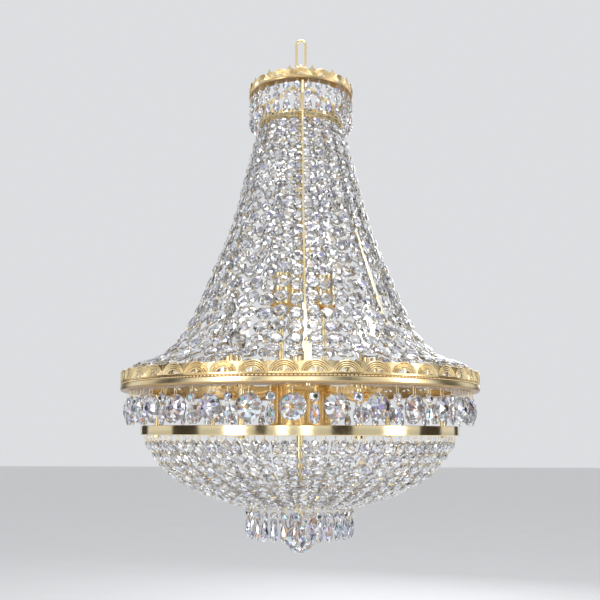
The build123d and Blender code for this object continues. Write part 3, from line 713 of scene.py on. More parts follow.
def ring_piece(name, mesh, material, count, first_azimuth, radius=0.0, height=0.0, twist=0.0, seed=1):
    """The mesh of a ring of copies."""
    piece = new_object(name + "_piece", mesh)
    grown = growths["ring"].grow(name, bpy.data.meshes.new(name + "_empty"), {
        "Piece": piece, "Copies": count, "First Azimuth": radians(first_azimuth), "Radius": radius,
        "Height": height, "Twist": twist, "Seed": seed, "Material": material})
    bpy.data.objects.remove(piece)
    return grown


# ---- Strands ----
CURTAIN_SHAPE = [(0, 0), (0.23, 0.114), (0.44, 0.223), (0.64, 0.377), (0.79, 0.50), (0.90, 0.648),
                 (0.965, 0.80), (1, 1)]
BASKET_SHAPE = [(0, 0), (0.20, 0.085), (0.44, 0.22), (0.69, 0.46), (0.87, 0.71), (1, 1)]
LAYER_STEP = 6.8 * MM
SHEET = 1.5 * MM
RIB_AZIMUTH = 2.0
CROWDED_PITCH, FREE_PITCH = 0.94, 1.09
LINK_REACH = 2.4 * MM
LINK_LENGTH = 8 * MM
LINK_WIDTH = 3.6 * MM
# Widths of a strand's first and last bead.
CURTAIN_WIDTHS = (14.4 * MM, 21.0 * MM)
BASKET_WIDTHS = (14.8 * MM, 12.8 * MM)
# The curtain: its holes in the neck ring and the main ring, and the ends of its middle line.
NECK_HOLE_INSET, NECK_SPREAD = 2.0 * MM, 2.1 * MM
CURTAIN_TOP_DROP = 6 * MM
CURTAIN_FOOT_INSET, CURTAIN_FOOT_RISE = 12 * MM, 5 * MM
MAIN_HOLE_INSET, MAIN_HOLE_DROP = 0.9 * MM, 3 * MM
# The basket: its holes in the band and the bottom ring, and the ends of its middle line.
BAND_HOLE_INSET, BASKET_TOP_DROP = 7 * MM, 7.5 * MM
BASKET_FOOT_OUT, BASKET_FOOT_RISE = 6 * MM, 0.5 * MM
BOTTOM_HOLE_OUT = 0.6 * MM


class Fall:
    """A smooth curve through (radius, z) points, measured along its length."""

    def __init__(self, shape, top, end, steps=400):
        points = np.array([(top[0] + (end[0] - top[0]) * across, top[1] + (end[1] - top[1]) * down)
                           for down, across in shape])
        knots = np.concatenate([[0], np.cumsum(np.linalg.norm(np.diff(points, axis=0), axis=1))])
        at = np.linspace(0, knots[-1], steps)
        self.line = np.stack([natural_spline(knots, points[:, axis], at) for axis in (0, 1)], axis=1)
        self.run = np.concatenate([[0], np.cumsum(np.linalg.norm(np.diff(self.line, axis=0), axis=1))])
        self.length = self.run[-1]

    def at(self, distance):
        """Place and direction at a distance along the curve."""
        place = np.array([np.interp(distance, self.run, self.line[:, axis]) for axis in (0, 1)])
        ahead = np.array([np.interp(distance + MM, self.run, self.line[:, axis]) for axis in (0, 1)])
        behind = np.array([np.interp(distance - MM, self.run, self.line[:, axis]) for axis in (0, 1)])
        along = ahead - behind
        return place, along / np.linalg.norm(along)


def natural_spline(knots, values, at):
    """Cubic interpolation with no bend at the ends."""
    count = len(knots)
    gaps, slopes = np.diff(knots), np.diff(values) / np.diff(knots)
    system, right = np.eye(count), np.zeros(count)
    for row in range(1, count - 1):
        system[row, row - 1:row + 2] = gaps[row - 1], 2 * (gaps[row - 1] + gaps[row]), gaps[row]
        right[row] = 6 * (slopes[row] - slopes[row - 1])
    bend = np.linalg.solve(system, right)
    part = np.clip(np.searchsorted(knots, at, side="right") - 1, 0, count - 2)
    gap, left = gaps[part], at - knots[part]
    rest = gap - left
    return ((bend[part] * rest ** 3 + bend[part + 1] * left ** 3) / (6 * gap)
            + (values[part] / gap - bend[part] * gap / 6) * rest
            + (values[part + 1] / gap - bend[part + 1] * gap / 6) * left)


def layer_share(radius, count, width):
    """How far neighbouring strands stand apart: all the way where they crowd, not at all where free."""
    pitch = 2 * pi * radius / (count * width)
    return min(1.0, max(0.0, (FREE_PITCH - pitch) / (FREE_PITCH - CROWDED_PITCH)))


def strand_points(fall, top_anchor, end_anchor, widths, gap, outward, strands):
    """Centres, leans and widths of one strand's beads, and the ends of the links between them."""
    first, last = widths
    count = round(fall.length / ((first + last) / 2 + gap))
    steps = [first + (last - first) * index / (count - 1) + gap for index in range(count)]
    stretch = fall.length / sum(steps)
    beads, run = [], 0.0
    for step in steps:
        place, along = fall.at((run + step / 2) * stretch)
        share = layer_share(place[0], strands, max(widths))
        place = place + np.array([-along[1], along[0]]) * (outward * share * LAYER_STEP / 2)
        beads.append((place, along, step - gap))
        run += step
    links, start = [], np.array(top_anchor)
    for place, along, width in beads:
        reach = (width * cos(pi / 8) / 2 - LINK_REACH) * along
        links.append((start, place - reach))
        start = place + reach
    links.append((start, np.array(end_anchor)))
    return beads, links


def point_mesh(name, places, leans, sizes):
    """Loose points in the XZ plane with the lean and the size of what hangs on each."""
    mesh = bpy.data.meshes.new(name)
    mesh.from_pydata([(place[0], 0, place[1]) for place in places], [], [])
    mesh.attributes.new("lean", "FLOAT", "POINT").data.foreach_set("value", leans)
    flat = [number for size in sizes for number in size]
    mesh.attributes.new("size", "FLOAT_VECTOR", "POINT").data.foreach_set("vector", flat)
    return mesh


def lean_of(along):
    """The angle from straight down to a direction in (radius, z)."""
    return atan2(-along[0], -along[1])


def hang_strands(name, fall, layers, end_anchor, widths, gap, count, seed, node):
    """Two layers of strands: their beads and the brass links that join them."""
    crystal, strands = bpy.context.scene.chandelier_crystal, bpy.context.scene.chandelier_strands
    bead = new_object(name + "_bead", bead_mesh())
    link = new_object(name + "_link", wire_loop_mesh("link", LINK_LENGTH, LINK_WIDTH, strands.wire))
    for index, (side, top_anchor, first_azimuth) in enumerate(layers):
        beads, links = strand_points(fall, top_anchor, end_anchor, widths, gap, side, count)
        shared = {"Copies": count // 2, "First Azimuth": radians(first_azimuth), "Seed": seed + index}
        points = point_mesh(name + "_points", [b[0] for b in beads], [lean_of(b[1]) for b in beads],
                            [(crystal.thickness, b[2], b[2]) for b in beads])
        layer = ("outer", "inner")[index]
        mesh = growths["strand"].grow(f"{name}_beads_{layer}", points, {
            **shared, "Piece": bead, "Twist": strands.twist, "Material": finishes["crystal"]})
        add_piece(f"{name}_beads_{layer}", mesh, finishes["crystal"], replaces=[node])
        runs = [(start, end - start) for start, end in links]
        points = point_mesh(name + "_ends", [start for start, _ in runs],
                            [lean_of(run / np.linalg.norm(run)) for _, run in runs],
                            [(1, 1, np.linalg.norm(run) / LINK_LENGTH) for _, run in runs])
        mesh = growths["strand"].grow(f"{name}_links_{layer}", points, {
            **shared, "Piece": link, "Twist": 0.0, "Material": finishes["wire"]})
        add_piece(f"{name}_links_{layer}", mesh, finishes["wire"])
    bpy.data.objects.remove(bead)
    bpy.data.objects.remove(link)


def hang_curtain():
    """The strands that fall from the neck ring to the main ring."""
    strands = bpy.context.scene.chandelier_strands
    outer_r = neck.radius - SHEET - NECK_HOLE_INSET
    middle_r = outer_r - LAYER_STEP / 2 + NECK_SPREAD
    fall = Fall(CURTAIN_SHAPE, (middle_r, neck.foot - CURTAIN_TOP_DROP),
                (main_ring.radius - CURTAIN_FOOT_INSET, main_ring_top + CURTAIN_FOOT_RISE))
    pitch = 360 / strands.curtain_strands
    seat = neck.foot + SHEET
    layers = [(1, (outer_r, seat), RIB_AZIMUTH + pitch / 2),
              (-1, (middle_r - LAYER_STEP / 2, seat), RIB_AZIMUTH + 1.5 * pitch)]
    end = (main_ring.radius - SHEET - MAIN_HOLE_INSET, main_ring.top - MAIN_HOLE_DROP)
    hang_strands("curtain", fall, layers, end, CURTAIN_WIDTHS, strands.curtain_gap,
                 strands.curtain_strands, 10, "curtain_strands")


def hang_basket():
    """The strands that sweep from the band in to the bottom ring."""
    strands = bpy.context.scene.chandelier_strands
    top_r = band.radius - BAND_HOLE_INSET
    fall = Fall(BASKET_SHAPE, (top_r, band.foot - BASKET_TOP_DROP),
                (bottom.radius + BASKET_FOOT_OUT, bottom.top + BASKET_FOOT_RISE))
    pitch = 360 / strands.basket_strands
    layers = [(1, (top_r, band.foot + SHEET), pitch / 2), (-1, (top_r, band.foot + SHEET), 1.5 * pitch)]
    end = (bottom.radius + BOTTOM_HOLE_OUT, (bottom.top + bottom.foot) / 2)
    hang_strands("basket", fall, layers, end, BASKET_WIDTHS, strands.basket_gap,
                 strands.basket_strands, 20, "basket_strands")


# ---- Pierced arcade ----
RIDGE = 2.3 * MM
ARCH_SHARE = 0.54
GALLERY_WALL = 1.4 * MM
MAIN_LEAF_SHARE = 0.93
MAIN_WEB_SHARE = 0.84
CROWN_ARCH = 13 * MM
CROWN_WEB_SHARE = 0.72
# How dark the painted shade on the relief's ground and the painted shade and reflection along the foot of a
# ring are, from 0 to 1.
GROUND_SHADE, FOOT_SHADE = 0.35, 0.62
# Share of a cast ring's height, from its foot up, that gets the painted shade and reflection.
SHADED_FOOT_SHARE = 0.24


def arch_band(centre, outer_r, inner_r, ridges, foot, relief, back, steps=22):
    """A bent strip with raised ridges along it, in (along, up, out), cut off level at its foot."""
    section = []
    per_ridge = 4
    width = (outer_r - inner_r) / ridges
    for index in range(ridges * per_ridge + 1):
        share = index / per_ridge
        section.append((outer_r - share * width, relief * (abs(sin(pi * share)) - 1)))
    section += [(inner_r, -back), (outer_r, -back)]
    vertices, faces = [], []
    for step in range(steps + 1):
        share = step / steps
        for radius, out in section:
            low = asin(min(1.0, max(-1.0, (foot - centre[1]) / radius)))
            angle = low + share * (pi - 2 * low)
            vertices.append((centre[0] - radius * cos(angle), centre[1] + radius * sin(angle), out))
    count = len(section)
    for step in range(steps):
        for index in range(count):
            after = (index + 1) % count
            a, b = step * count + index, step * count + after
            faces.append((a, b, b + count, a + count))
    faces += [tuple(range(count)), tuple(range(steps * count, (steps + 1) * count))]
    return vertices, faces


def slab(outline, front, back, crown_height=0.0):
    """A flat plate from an outline of (along, up) points, with a raised middle where crown_height is set."""
    count = len(outline)
    middle = [sum(point[axis] for point in outline) / count for axis in (0, 1)]
    vertices = [(x, y, front) for x, y in outline] + [(x, y, -back) for x, y in outline]
    faces = [(i, (i + 1) % count, count + (i + 1) % count, count + i) for i in range(count)]
    vertices += [(*middle, front + crown_height), (*middle, -back)]
    top, under = 2 * count, 2 * count + 1
    faces += [(i, (i + 1) % count, top) for i in range(count)]
    faces += [(count + i, count + (i + 1) % count, under) for i in range(count)]
    return vertices, faces


def filler_parts(side, pitch, arch_r, centre_y, spike, relief, wall, web_share):
    """The veined leaf that fills the notch between two arches, as its half on one side of the joint."""
    def half_width(up):
        arch_edge = sqrt(max(arch_r ** 2 - (up - centre_y) ** 2, 0))
        return max(pitch / 2 - arch_edge + 0.2 * MM, 0.6 * MM)

    web_top = web_share * (centre_y + arch_r)
    joint = side * pitch / 2
    outline = [(joint, 0.05 * web_top)]
    outline += [(joint - side * half_width(share * web_top), share * web_top)
                for share in (0.1, 0.4, 0.65, 0.85, 1.0)]
    outline += [(joint - side * 1.5 * MM, 0.6 * web_top + 0.4 * spike),
                (joint - side * 1.1 * MM, 0.92 * spike), (joint, spike)]
    parts = [slab(outline, -0.35 * relief, 0.9 * wall)]
    for share in (0.4, 0.6, 0.8, 1.0):
        up = share * web_top
        reach = 0.85 * half_width(up)
        vein = [(joint - side * 0.4 * MM, up - 1.4 * MM), (joint - side * reach, up + 0.3 * MM),
                (joint - side * reach, up + 1.0 * MM), (joint - side * 0.4 * MM, up - 0.5 * MM)]
        parts.append(slab(vein, -0.1 * relief, relief, 0.1 * relief))
    rib = [(joint, 0.05 * spike), (joint - side * 0.5 * MM, 0.1 * spike),
           (joint - side * 0.4 * MM, 0.85 * spike), (joint, 0.97 * spike)]
    return parts + [slab(rib, -0.1 * relief, relief, 0.1 * relief)]


def bay_parts(pitch, height, spike, relief, wall, web_share):
    """One bay: a ridged arch, a boss between two eyes, a small scroll, a foot strip and leaves."""
    arch_r = ARCH_SHARE * pitch
    centre_y = height - arch_r
    foot = 0.8 * MM
    inner_r = arch_r - 3 * RIDGE
    eye_r = inner_r - RIDGE
    scroll_r = 0.15 * pitch
    parts = [arch_band((0, centre_y), arch_r, inner_r, 3, foot, relief, wall),
             arch_band((0, centre_y), inner_r, eye_r, 1, foot, 0.8 * relief, wall),
             arch_band((0.14 * pitch, 0.2 * MM), scroll_r, scroll_r - 0.8 * RIDGE, 1, foot, relief, wall, 12)]
    half = pitch / 2
    parts.append(slab([(-half, 0), (half, 0), (half, 1.5 * MM), (-half, 1.5 * MM)], -0.2 * relief, wall))
    boss_top = centre_y + eye_r + 0.6 * MM
    boss = [(-1.7 * MM, foot), (1.7 * MM, foot), (2.1 * MM, 0.5 * boss_top), (1.3 * MM, boss_top),
            (-1.3 * MM, boss_top), (-2.1 * MM, 0.5 * boss_top)]
    parts.append(slab(boss, -0.3 * relief, wall, 0.3 * relief))
    for side in (-1, 1):
        parts += filler_parts(side, pitch, arch_r, centre_y, spike, relief, wall, web_share)
    return parts


def paint_shade(mesh, radius, shade_below=None):
    """Store how much shade is painted on each point: by its depth in the relief, or a painted shade and
    reflection below a height.
    """
    relief = bpy.context.scene.chandelier_gallery.relief
    shade_amounts = []
    for vertex in mesh.vertices:
        depth = max(0.0, (radius - sqrt(vertex.co.x ** 2 + vertex.co.y ** 2)) / relief)
        foot_shaded = shade_below is not None and vertex.co.z < shade_below
        # Painted shade: the deep relief is darkest, the ground behind it lighter, and a cast ring's foot
        # dark.
        shade_amounts.append(FOOT_SHADE if foot_shaded else depth if depth < 1 else GROUND_SHADE)
    mesh.attributes.new("hollow", "FLOAT", "POINT").data.foreach_set("value", shade_amounts)
    return mesh


def bent_bay(name, parts, radius, base_z):
    """The bay's parts bent round the ring, facing +X, with shade painted in their relief."""
    meshes = []
    for vertices, faces in parts:
        bent = []
        for along, up, out in vertices:
            angle = along / radius
            bent.append(((radius + out) * cos(angle), (radius + out) * sin(angle), base_z + up))
        meshes.append(mesh_from(name, bent, faces))
    return paint_shade(joined(name, meshes), radius)


def arcade(name, ring, height, spike, bays, first_azimuth, node, web_share):
    """The pierced gallery that stands on a ring: its arches' height and that of the leaves between them."""
    relief = bpy.context.scene.chandelier_gallery.relief
    pitch = 2 * pi * ring.radius / bays
    parts = bay_parts(pitch, height, spike, relief, GALLERY_WALL, web_share)
    bay = bent_bay(name + "_bay", parts, ring.radius, ring.top)
    mesh = ring_piece(name, bay, finishes["gallery"], bays, first_azimuth)
    add_piece(name, mesh, finishes["gallery"], replaces=[node])


# ---- Rings ----
def inner_radius(node):
    """Smallest distance of a node's surface from the axis."""
    return min(sqrt(v.co.x ** 2 + v.co.y ** 2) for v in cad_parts[node].data.vertices)


def rim_profile(ring, inner, lip, steps):
    """An upright wall and a flange turned inwards at its foot.

    The steps are the wall's outline from the top down, as (below the top, in from the outside)."""
    outer, top, foot = ring
    wall = outer - SHEET
    profile = [(wall, top)] + [(outer - inset, top - below) for below, inset in steps]
    last = outer - steps[-1][1]
    for step in range(6):
        angle = pi / 2 * step / 5
        profile.append((last - lip + lip * cos(angle), foot + lip - lip * sin(angle)))
    profile += [(inner + 0.4 * MM, foot), (inner, foot + 0.4 * MM), (inner, foot + SHEET),
                (wall, foot + SHEET)]
    return profile


def dot_mesh(radius):
    """A low dome that faces +X, of a few faces."""
    vertices, faces = [], []
    rows = ((0.0, 1.0), (0.6, 0.8), (0.9, 0.4))
    angles = [2 * pi * s / 8 for s in range(8)]
    for out, share in rows:
        vertices += [(out * radius, share * radius * sin(angle), share * radius * cos(angle))
                     for angle in angles]
    for row in range(2):
        for s in range(8):
            after = (s + 1) % 8
            faces.append((row * 8 + s, row * 8 + after, row * 8 + 8 + after, row * 8 + 8 + s))
    faces += [tuple(range(8)), tuple(range(16, 24))]
    return mesh_from("dot", vertices, faces, sharp=radians(60))


PLAIN_STEPS = ((0, 0.4 * MM), (0.4 * MM, 0))
CROWN_STEPS = ((0, 0.5 * MM), (0.3 * MM, 0.1 * MM), (1.0 * MM, 0.1 * MM), (1.3 * MM, 0.6 * MM),
               (1.7 * MM, 0.2 * MM))
MAIN_STEPS = ((0, 0.6 * MM), (0.4 * MM, 0.1 * MM), (1.1 * MM, 0.1 * MM), (1.4 * MM, 1.1 * MM),
              (3.7 * MM, 1.1 * MM), (4.0 * MM, 0.2 * MM), (4.4 * MM, 0))
ROPE_BELOW_TOP = 2.55 * MM
ROPE_INSET = 1.1 * MM
ROPE_R = 1.0 * MM
ROPE_STRETCH = 2.1
ROPE_COUNT = 320


def make_rings():
    """Crown rim, neck ring, main ring, band and bottom ring."""
    rings = [
        ("crown_hoop", crown, 0.8, CROWN_STEPS, "crown_rim", "cast"),
        ("neck_hoop", neck, 1.2, PLAIN_STEPS, "neck_ring", "brass"),
        ("main_hoop", main_ring, 3.4, MAIN_STEPS, "main_rim", "cast"),
        ("band_hoop", band, 1.0, PLAIN_STEPS, "basket_band", "mirror"),
        ("bottom_hoop", bottom, 1.0, PLAIN_STEPS, "bottom_ring", "brass"),
    ]
    for name, ring, lip, steps, node, finish in rings:
        mesh = turned_mesh(name, rim_profile(ring, inner_radius(node), lip * MM, steps))
        # A cast ring gets painted shade in its recessed bands, and painted shade and reflection along its
        # foot.
        if finish == "cast":
            paint_shade(mesh, ring.radius, ring.foot + SHADED_FOOT_SHARE * (ring.top - ring.foot))
        add_piece(name, mesh, finishes[finish], replaces=[node])
    rope = dot_mesh(ROPE_R)
    rope.transform(Matrix.Diagonal((1.0, ROPE_STRETCH, 1.0, 1)))
    ring = ring_piece("main_hoop_rope", rope, finishes["brass"], ROPE_COUNT, 0,
                      radius=main_ring.radius - ROPE_INSET, height=main_ring.top - ROPE_BELOW_TOP)
    add_piece("main_hoop_rope", ring, finishes["brass"])


def make_arcades():
    """The galleries of the main ring and the crown."""
    settings = bpy.context.scene.chandelier_gallery
    main_height = main_ring_top - main_ring.top
    arcade("main_arcade", main_ring, main_height, MAIN_LEAF_SHARE * main_height, settings.main_bays,
           180 / settings.main_bays, "main_gallery", MAIN_WEB_SHARE)
    arcade("crown_arcade", crown, CROWN_ARCH, crown_top - crown.top, settings.crown_bays, 0, "crown_gallery",
           CROWN_WEB_SHARE)


# ---- Pendants ----
def hang_ring(name, mesh, material, slot, azimuth, radius, height, seed, node=None):
    """One ring of like pendants, or of the links above them."""
    pendants = bpy.context.scene.chandelier_pendants
    twist = pendants.swing if slot == CRYSTAL_SLOT else 0.0
    grown = ring_piece(name, mesh, material, pendants.sets, azimuth, radius, height, twist, seed)
    add_piece(name, grown, material, replaces=[node] if node else ())


PENDANT_AZIMUTH = -2
PENDANT_INSET = 11.5 * MM
FRINGE_INSET = 3.6 * MM
STRING_GAP = 2.2 * MM


def sized_stone(mesh, thickness, width):
    """A unit stone made its real size and hung below the origin."""
    mesh.transform(Matrix.Diagonal((thickness, width, width, 1)))
    top = max(v.co.z for v in mesh.vertices)
    mesh.transform(Matrix.Translation((0, 0, -top)))
    return mesh


def hang_fringe(name, radius, seat_z, first_gap, azimuth, stones, seed):
    """Strings of stones hung one under another below a flange."""
    wire = bpy.context.scene.chandelier_strands.wire
    crystal = finishes["large_crystal"]
    top, start = seat_z - first_gap, seat_z + SHEET
    for index, (label, mesh, node) in enumerate(stones):
        link = wire_loop_mesh("link", start - top + LINK_REACH, LINK_WIDTH, wire)
        hang_ring(f"{name}_links_{index + 1}", link, finishes["wire"], BRASS_SLOT, azimuth, radius, start,
                  seed)
        height = max(v.co.z for v in mesh.vertices) - min(v.co.z for v in mesh.vertices)
        hang_ring(label, mesh, crystal, CRYSTAL_SLOT, azimuth, radius, top, seed + index, node)
        start = top - height + LINK_REACH
        top -= height + STRING_GAP


def hang_pendants():
    """Large star-cut crystals and small drops in turn round the main ring."""
    pendants = bpy.context.scene.chandelier_pendants
    radius, pitch = main_ring.radius - PENDANT_INSET, 360 / pendants.sets
    large = sized_stone(round_stone_mesh(), thickness=13 * MM, width=31.6 * MM)
    hang_fringe("large", radius, main_ring.foot, 9.5 * MM, PENDANT_AZIMUTH,
                [("large_crystal_ring", large, "large_crystals")], seed=30)
    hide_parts("crystal_pins")
    octagon = sized_stone(bead_mesh(), thickness=6.4 * MM, width=12.6 * MM)
    drop = almond_mesh(length=23 * MM, width=11.6 * MM, thickness=6.4 * MM)
    stones = [("band_octagon_ring", octagon, "band_octagons"), ("band_drop_ring", drop, "band_drops")]
    hang_fringe("band", radius, main_ring.foot, 8 * MM, PENDANT_AZIMUTH + pitch / 2, stones, seed=40)


def hang_crown_fringe():
    """Two octagons and a drop on each string below the crown."""
    pitch = 360 / bpy.context.scene.chandelier_pendants.sets
    upper, lower = (sized_stone(bead_mesh(), thickness=6.2 * MM, width=11.4 * MM) for _ in range(2))
    drop = almond_mesh(length=18 * MM, width=10.6 * MM, thickness=6.2 * MM)
    stones = [("crown_octagon_upper", upper, "crown_octagons"), ("crown_octagon_lower", lower, None),
              ("crown_drop_ring", drop, "crown_drops")]
    hang_fringe("crown", crown.radius - FRINGE_INSET, crown.foot, 4 * MM, RIB_AZIMUTH + pitch / 2, stones,
                seed=50)


def hang_bottom_fringe():
    """An octagon and a drop on each string below the bottom ring."""
    pitch = 360 / bpy.context.scene.chandelier_pendants.sets
    octagon = sized_stone(bead_mesh(), thickness=6.4 * MM, width=11 * MM)
    drop = almond_mesh(length=26 * MM, width=11.6 * MM, thickness=6.4 * MM)
    stones = [("bottom_octagon_ring", octagon, "bottom_octagons"), ("bottom_drop_ring", drop, "bottom_drops")]
    hang_fringe("bottom", bottom.radius - FRINGE_INSET, bottom.foot, 4 * MM, RIB_AZIMUTH + pitch / 2, stones,
                seed=60)


def hang_ball():
    """The faceted ball, on its own body."""
    low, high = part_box("crystal_ball")
    mesh = ball_mesh((high.z - low.z) / 2)
    mesh.transform(Matrix.Translation((low + high) / 2))
    add_piece("faceted_ball", mesh, finishes["large_crystal"], "ball", ["crystal_ball"])


# ---- Frame and lamps that keep their built shape ----
# The start of a node's name, and its finish; the warm finish is brass with painted warm bounce light, for the
# hub, the lamp arms, the nuts and the bobeches.
NODE_FINISHES = {"bulb_glass": "bulb", "bulb_cap": "cap", "lampholders": "plastic",
                 "terminal_block": "plastic", "hub_": "warm", "lamp_arms": "warm", "lamp_nuts": "warm",
                 "bobeches": "warm"}


def finish_nodes():
    """Give the nodes that are shown as built their finish: brass, unless the list has another."""
    for name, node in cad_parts.items():
        if node.hide_render:
            continue
        finish = next((kind for start, kind in NODE_FINISHES.items() if name.startswith(start)), "brass")
        node.data.materials.clear()
        node.data.materials.append(finishes[finish])


def make_finishes():
    """Every material of the object, by name."""
    finishes["brass"] = brass_finish("polished_brass_finish")
    finishes["mirror"] = brass_finish("mirror_brass_finish", polish=0.75, age=0.12)
    # The gallery and cast finishes carry painted shade in their relief, and the cast one also along a ring's
    # foot.
    finishes["gallery"] = brass_finish("gallery_brass_finish", polish=1.3, age=0.35, cast=True)
    finishes["cast"] = brass_finish("cast_brass_finish", polish=1.5, age=0.35, cast=True)
    # Brass with painted warm bounce light, for the parts inside the chandelier.
    finishes["warm"] = brass_finish("bounce_warm_brass_finish", polish=1.5, age=0.6, bounce_warmth=0.6)
    finishes["wire"] = wire_finish()
    finishes["crystal"] = crystal_finish("strung_crystal_finish", strung_reflection_tones())
    finishes["large_crystal"] = crystal_finish("pendant_crystal_finish", pendant_reflection_tones())
    finishes["bulb"] = clear_glass()
    finishes["plastic"] = moulded_plastic()
    finishes["cap"] = lamp_cap_metal()


# ---- Stage ----
def backdrop_world(stage):
    """Even light, and the backdrop's colour wherever it is seen, mirrored or looked at through glass."""
    world = bpy.data.worlds.new("studio")
    world.use_nodes = True
    nodes = Nodes(world.node_tree)
    rays = nodes.add("ShaderNodeLightPath")
    seen = nodes.value(rays, "Is Camera Ray") + nodes.value(rays, "Is Transmission Ray")
    seen = (seen + nodes.value(rays, "Is Glossy Ray")).apply("MINIMUM", 1.0)
    even = nodes.add("ShaderNodeBackground", None, {"Color": (1, 1, 1, 1), "Strength": stage.world})
    shown = nodes.add("ShaderNodeBackground", None, {"Color": rgba(stage.backdrop), "Strength": 1.0})
    mix = nodes.add("ShaderNodeMixShader", None, {0: seen, 1: even.outputs[0], 2: shown.outputs[0]})
    nodes.add("ShaderNodeOutputWorld", None, {"Surface": mix.outputs[0]})
    bpy.context.scene.world = world


# Name, azimuth in degrees, distance, middle height, width, height and share of the power.
SOFTBOXES = (
    ("left_softbox", -42, 2.0, -0.25, 0.45, 1.7, 0.65), ("near_softbox", -11, 2.2, -0.35, 0.26, 1.4, 0.12),
    ("middle_softbox", 4, 2.2, -0.35, 0.26, 1.4, 0.12), ("right_softbox", 64, 2.1, -0.1, 0.6, 1.6, 0.5),
    ("back_softbox", 165, 2.0, 0.1, 1.2, 1.0, 0.8), ("top_softbox", 20, 0.3, 1.4, 1.2, 1.2, 1.0))
# Name, azimuth in degrees, width.
FLAGS = (("left_flag", -82, 1.1), ("near_flag", -25, 0.34), ("middle_flag", 27, 0.62),
         ("right_flag", 98, 1.1), ("rear_right_flag", 140, 0.5), ("rear_flag", 188, 0.4),
         ("rear_left_flag", 222, 0.8))
FLAG_DISTANCE = 2.6
FLAG_REACH = (-1.0, 0.9)
FLOOR_REACH = 12.0
# The floor's tint, as shares of the backdrop's colour.
FLOOR_TINTS = (1.20, 1.26)
LIT_POINT = (0, 0, -0.42)


def on_ring(azimuth, distance, height):
    """A place at an azimuth in degrees."""
    return Vector((distance * sin(radians(azimuth)), -distance * cos(radians(azimuth)), height))


def add_softbox(name, place, size, power):
    """A rectangular lamp that faces the chandelier's middle."""
    light = bpy.data.lights.new(name, "AREA")
    light.shape, light.size, light.size_y, light.energy = "RECTANGLE", size[0], size[1], power
    lamp = new_object(name, light)
    lamp.location = place
    lamp.rotation_euler = (Vector(LIT_POINT) - place).to_track_quat("-Z", "Y").to_euler()


def add_flag(name, azimuth, width, material):
    """A dark cloth screen beyond the lamps, which only polished metal and glass show."""
    half = width / 2 / FLAG_DISTANCE * 180 / pi
    corners = [on_ring(azimuth + side * half, FLAG_DISTANCE, FLAG_REACH[level])
               for side, level in ((-1, 0), (1, 0), (1, 1), (-1, 1))]
    mesh = bpy.data.meshes.new(name)
    mesh.from_pydata([tuple(corner) for corner in corners], [], [(0, 1, 2, 3)])
    mesh.materials.append(material)
    flag = new_object(name, mesh)
    flag.visible_camera = flag.visible_diffuse = flag.visible_shadow = False


def flag_cloth():
    """Near-black cloth."""
    material, nodes = new_material("flag_cloth")
    weave = nodes.noise(6.0)
    colour = nodes.blend(weave.outputs[0], (0.015, 0.012, 0.010, 1.0), (0.05, 0.04, 0.035, 1.0))
    close_material(nodes, {"Base Color": colour, "Roughness": 0.9})
    return material


def add_floor(stage):
    """A wide pale floor below the ball."""
    low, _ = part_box("crystal_ball")
    height = low.z - stage.floor_drop
    corners = [(FLOOR_REACH * x, FLOOR_REACH * y, height) for x, y in ((-1, -1), (1, -1), (1, 1), (-1, 1))]
    mesh = bpy.data.meshes.new("floor")
    mesh.from_pydata(corners, [], [(0, 1, 2, 3)])
    material, nodes = new_material("floor_finish")
    grain = nodes.noise(8.0, detail=4.0)
    tints = [[min(1.0, channel * share) for channel in stage.backdrop] for share in FLOOR_TINTS]
    colour = nodes.blend(grain.outputs[0], rgba(tints[0]), rgba(tints[1]))
    close_material(nodes, {"Base Color": colour, "Roughness": 0.8})
    mesh.materials.append(material)
    new_object("floor", mesh)


CAMERA_DISTANCE = 1.090
CAMERA_HEIGHT = -0.594
CAMERA_PITCH = 9.84
CAMERA_ROLL = -0.16
CAMERA_LENS = 45.6


def add_camera():
    """The photograph's viewpoint: just below the main ring, looking slightly up."""
    data = bpy.data.cameras.new("camera")
    data.lens = CAMERA_LENS
    camera = new_object("camera", data)
    camera.location = (0, -CAMERA_DISTANCE, CAMERA_HEIGHT)
    camera.rotation_euler = (radians(90 + CAMERA_PITCH), radians(CAMERA_ROLL), 0)
    bpy.context.scene.camera = camera


def build_stage():
    """Backdrop, floor, camera, lamps and the dark screens."""
    stage = bpy.context.scene.chandelier_stage
    bpy.context.scene.view_settings.view_transform = "Standard"
    backdrop_world(stage)
    add_floor(stage)
    add_camera()
    for name, azimuth, distance, height, width, tall, share in SOFTBOXES:
        add_softbox(name, on_ring(azimuth, distance, height), (width, tall), share * stage.softbox)
    cloth = flag_cloth()
    for name, azimuth, width in FLAGS:
        add_flag(name, azimuth, width, cloth)


# ---- Operators ----
class CHANDELIER_OT_finishes(bpy.types.Operator):
    """Mix the finishes and plant the node trees that the other steps use"""
    bl_idname = "chandelier.finishes"
    bl_label = "Finishes"

    def execute(self, context):
        make_finishes()
        growths["strand"] = strand_growth()
        growths["ring"] = ring_growth()
        return {"FINISHED"}


class CHANDELIER_OT_curtain(bpy.types.Operator):
    """Hang the strands from the neck ring to the main ring"""
    bl_idname = "chandelier.curtain"
    bl_label = "Curtain"

    def execute(self, context):
        hang_curtain()
        return {"FINISHED"}


class CHANDELIER_OT_basket(bpy.types.Operator):
    """Hang the strands from the band to the bottom ring"""
    bl_idname = "chandelier.basket"
    bl_label = "Basket"

    def execute(self, context):
        hang_basket()
        return {"FINISHED"}


class CHANDELIER_OT_rings(bpy.types.Operator):
    """Turn the five rings"""
    bl_idname = "chandelier.rings"
    bl_label = "Rings"

    def execute(self, context):
        make_rings()
        return {"FINISHED"}


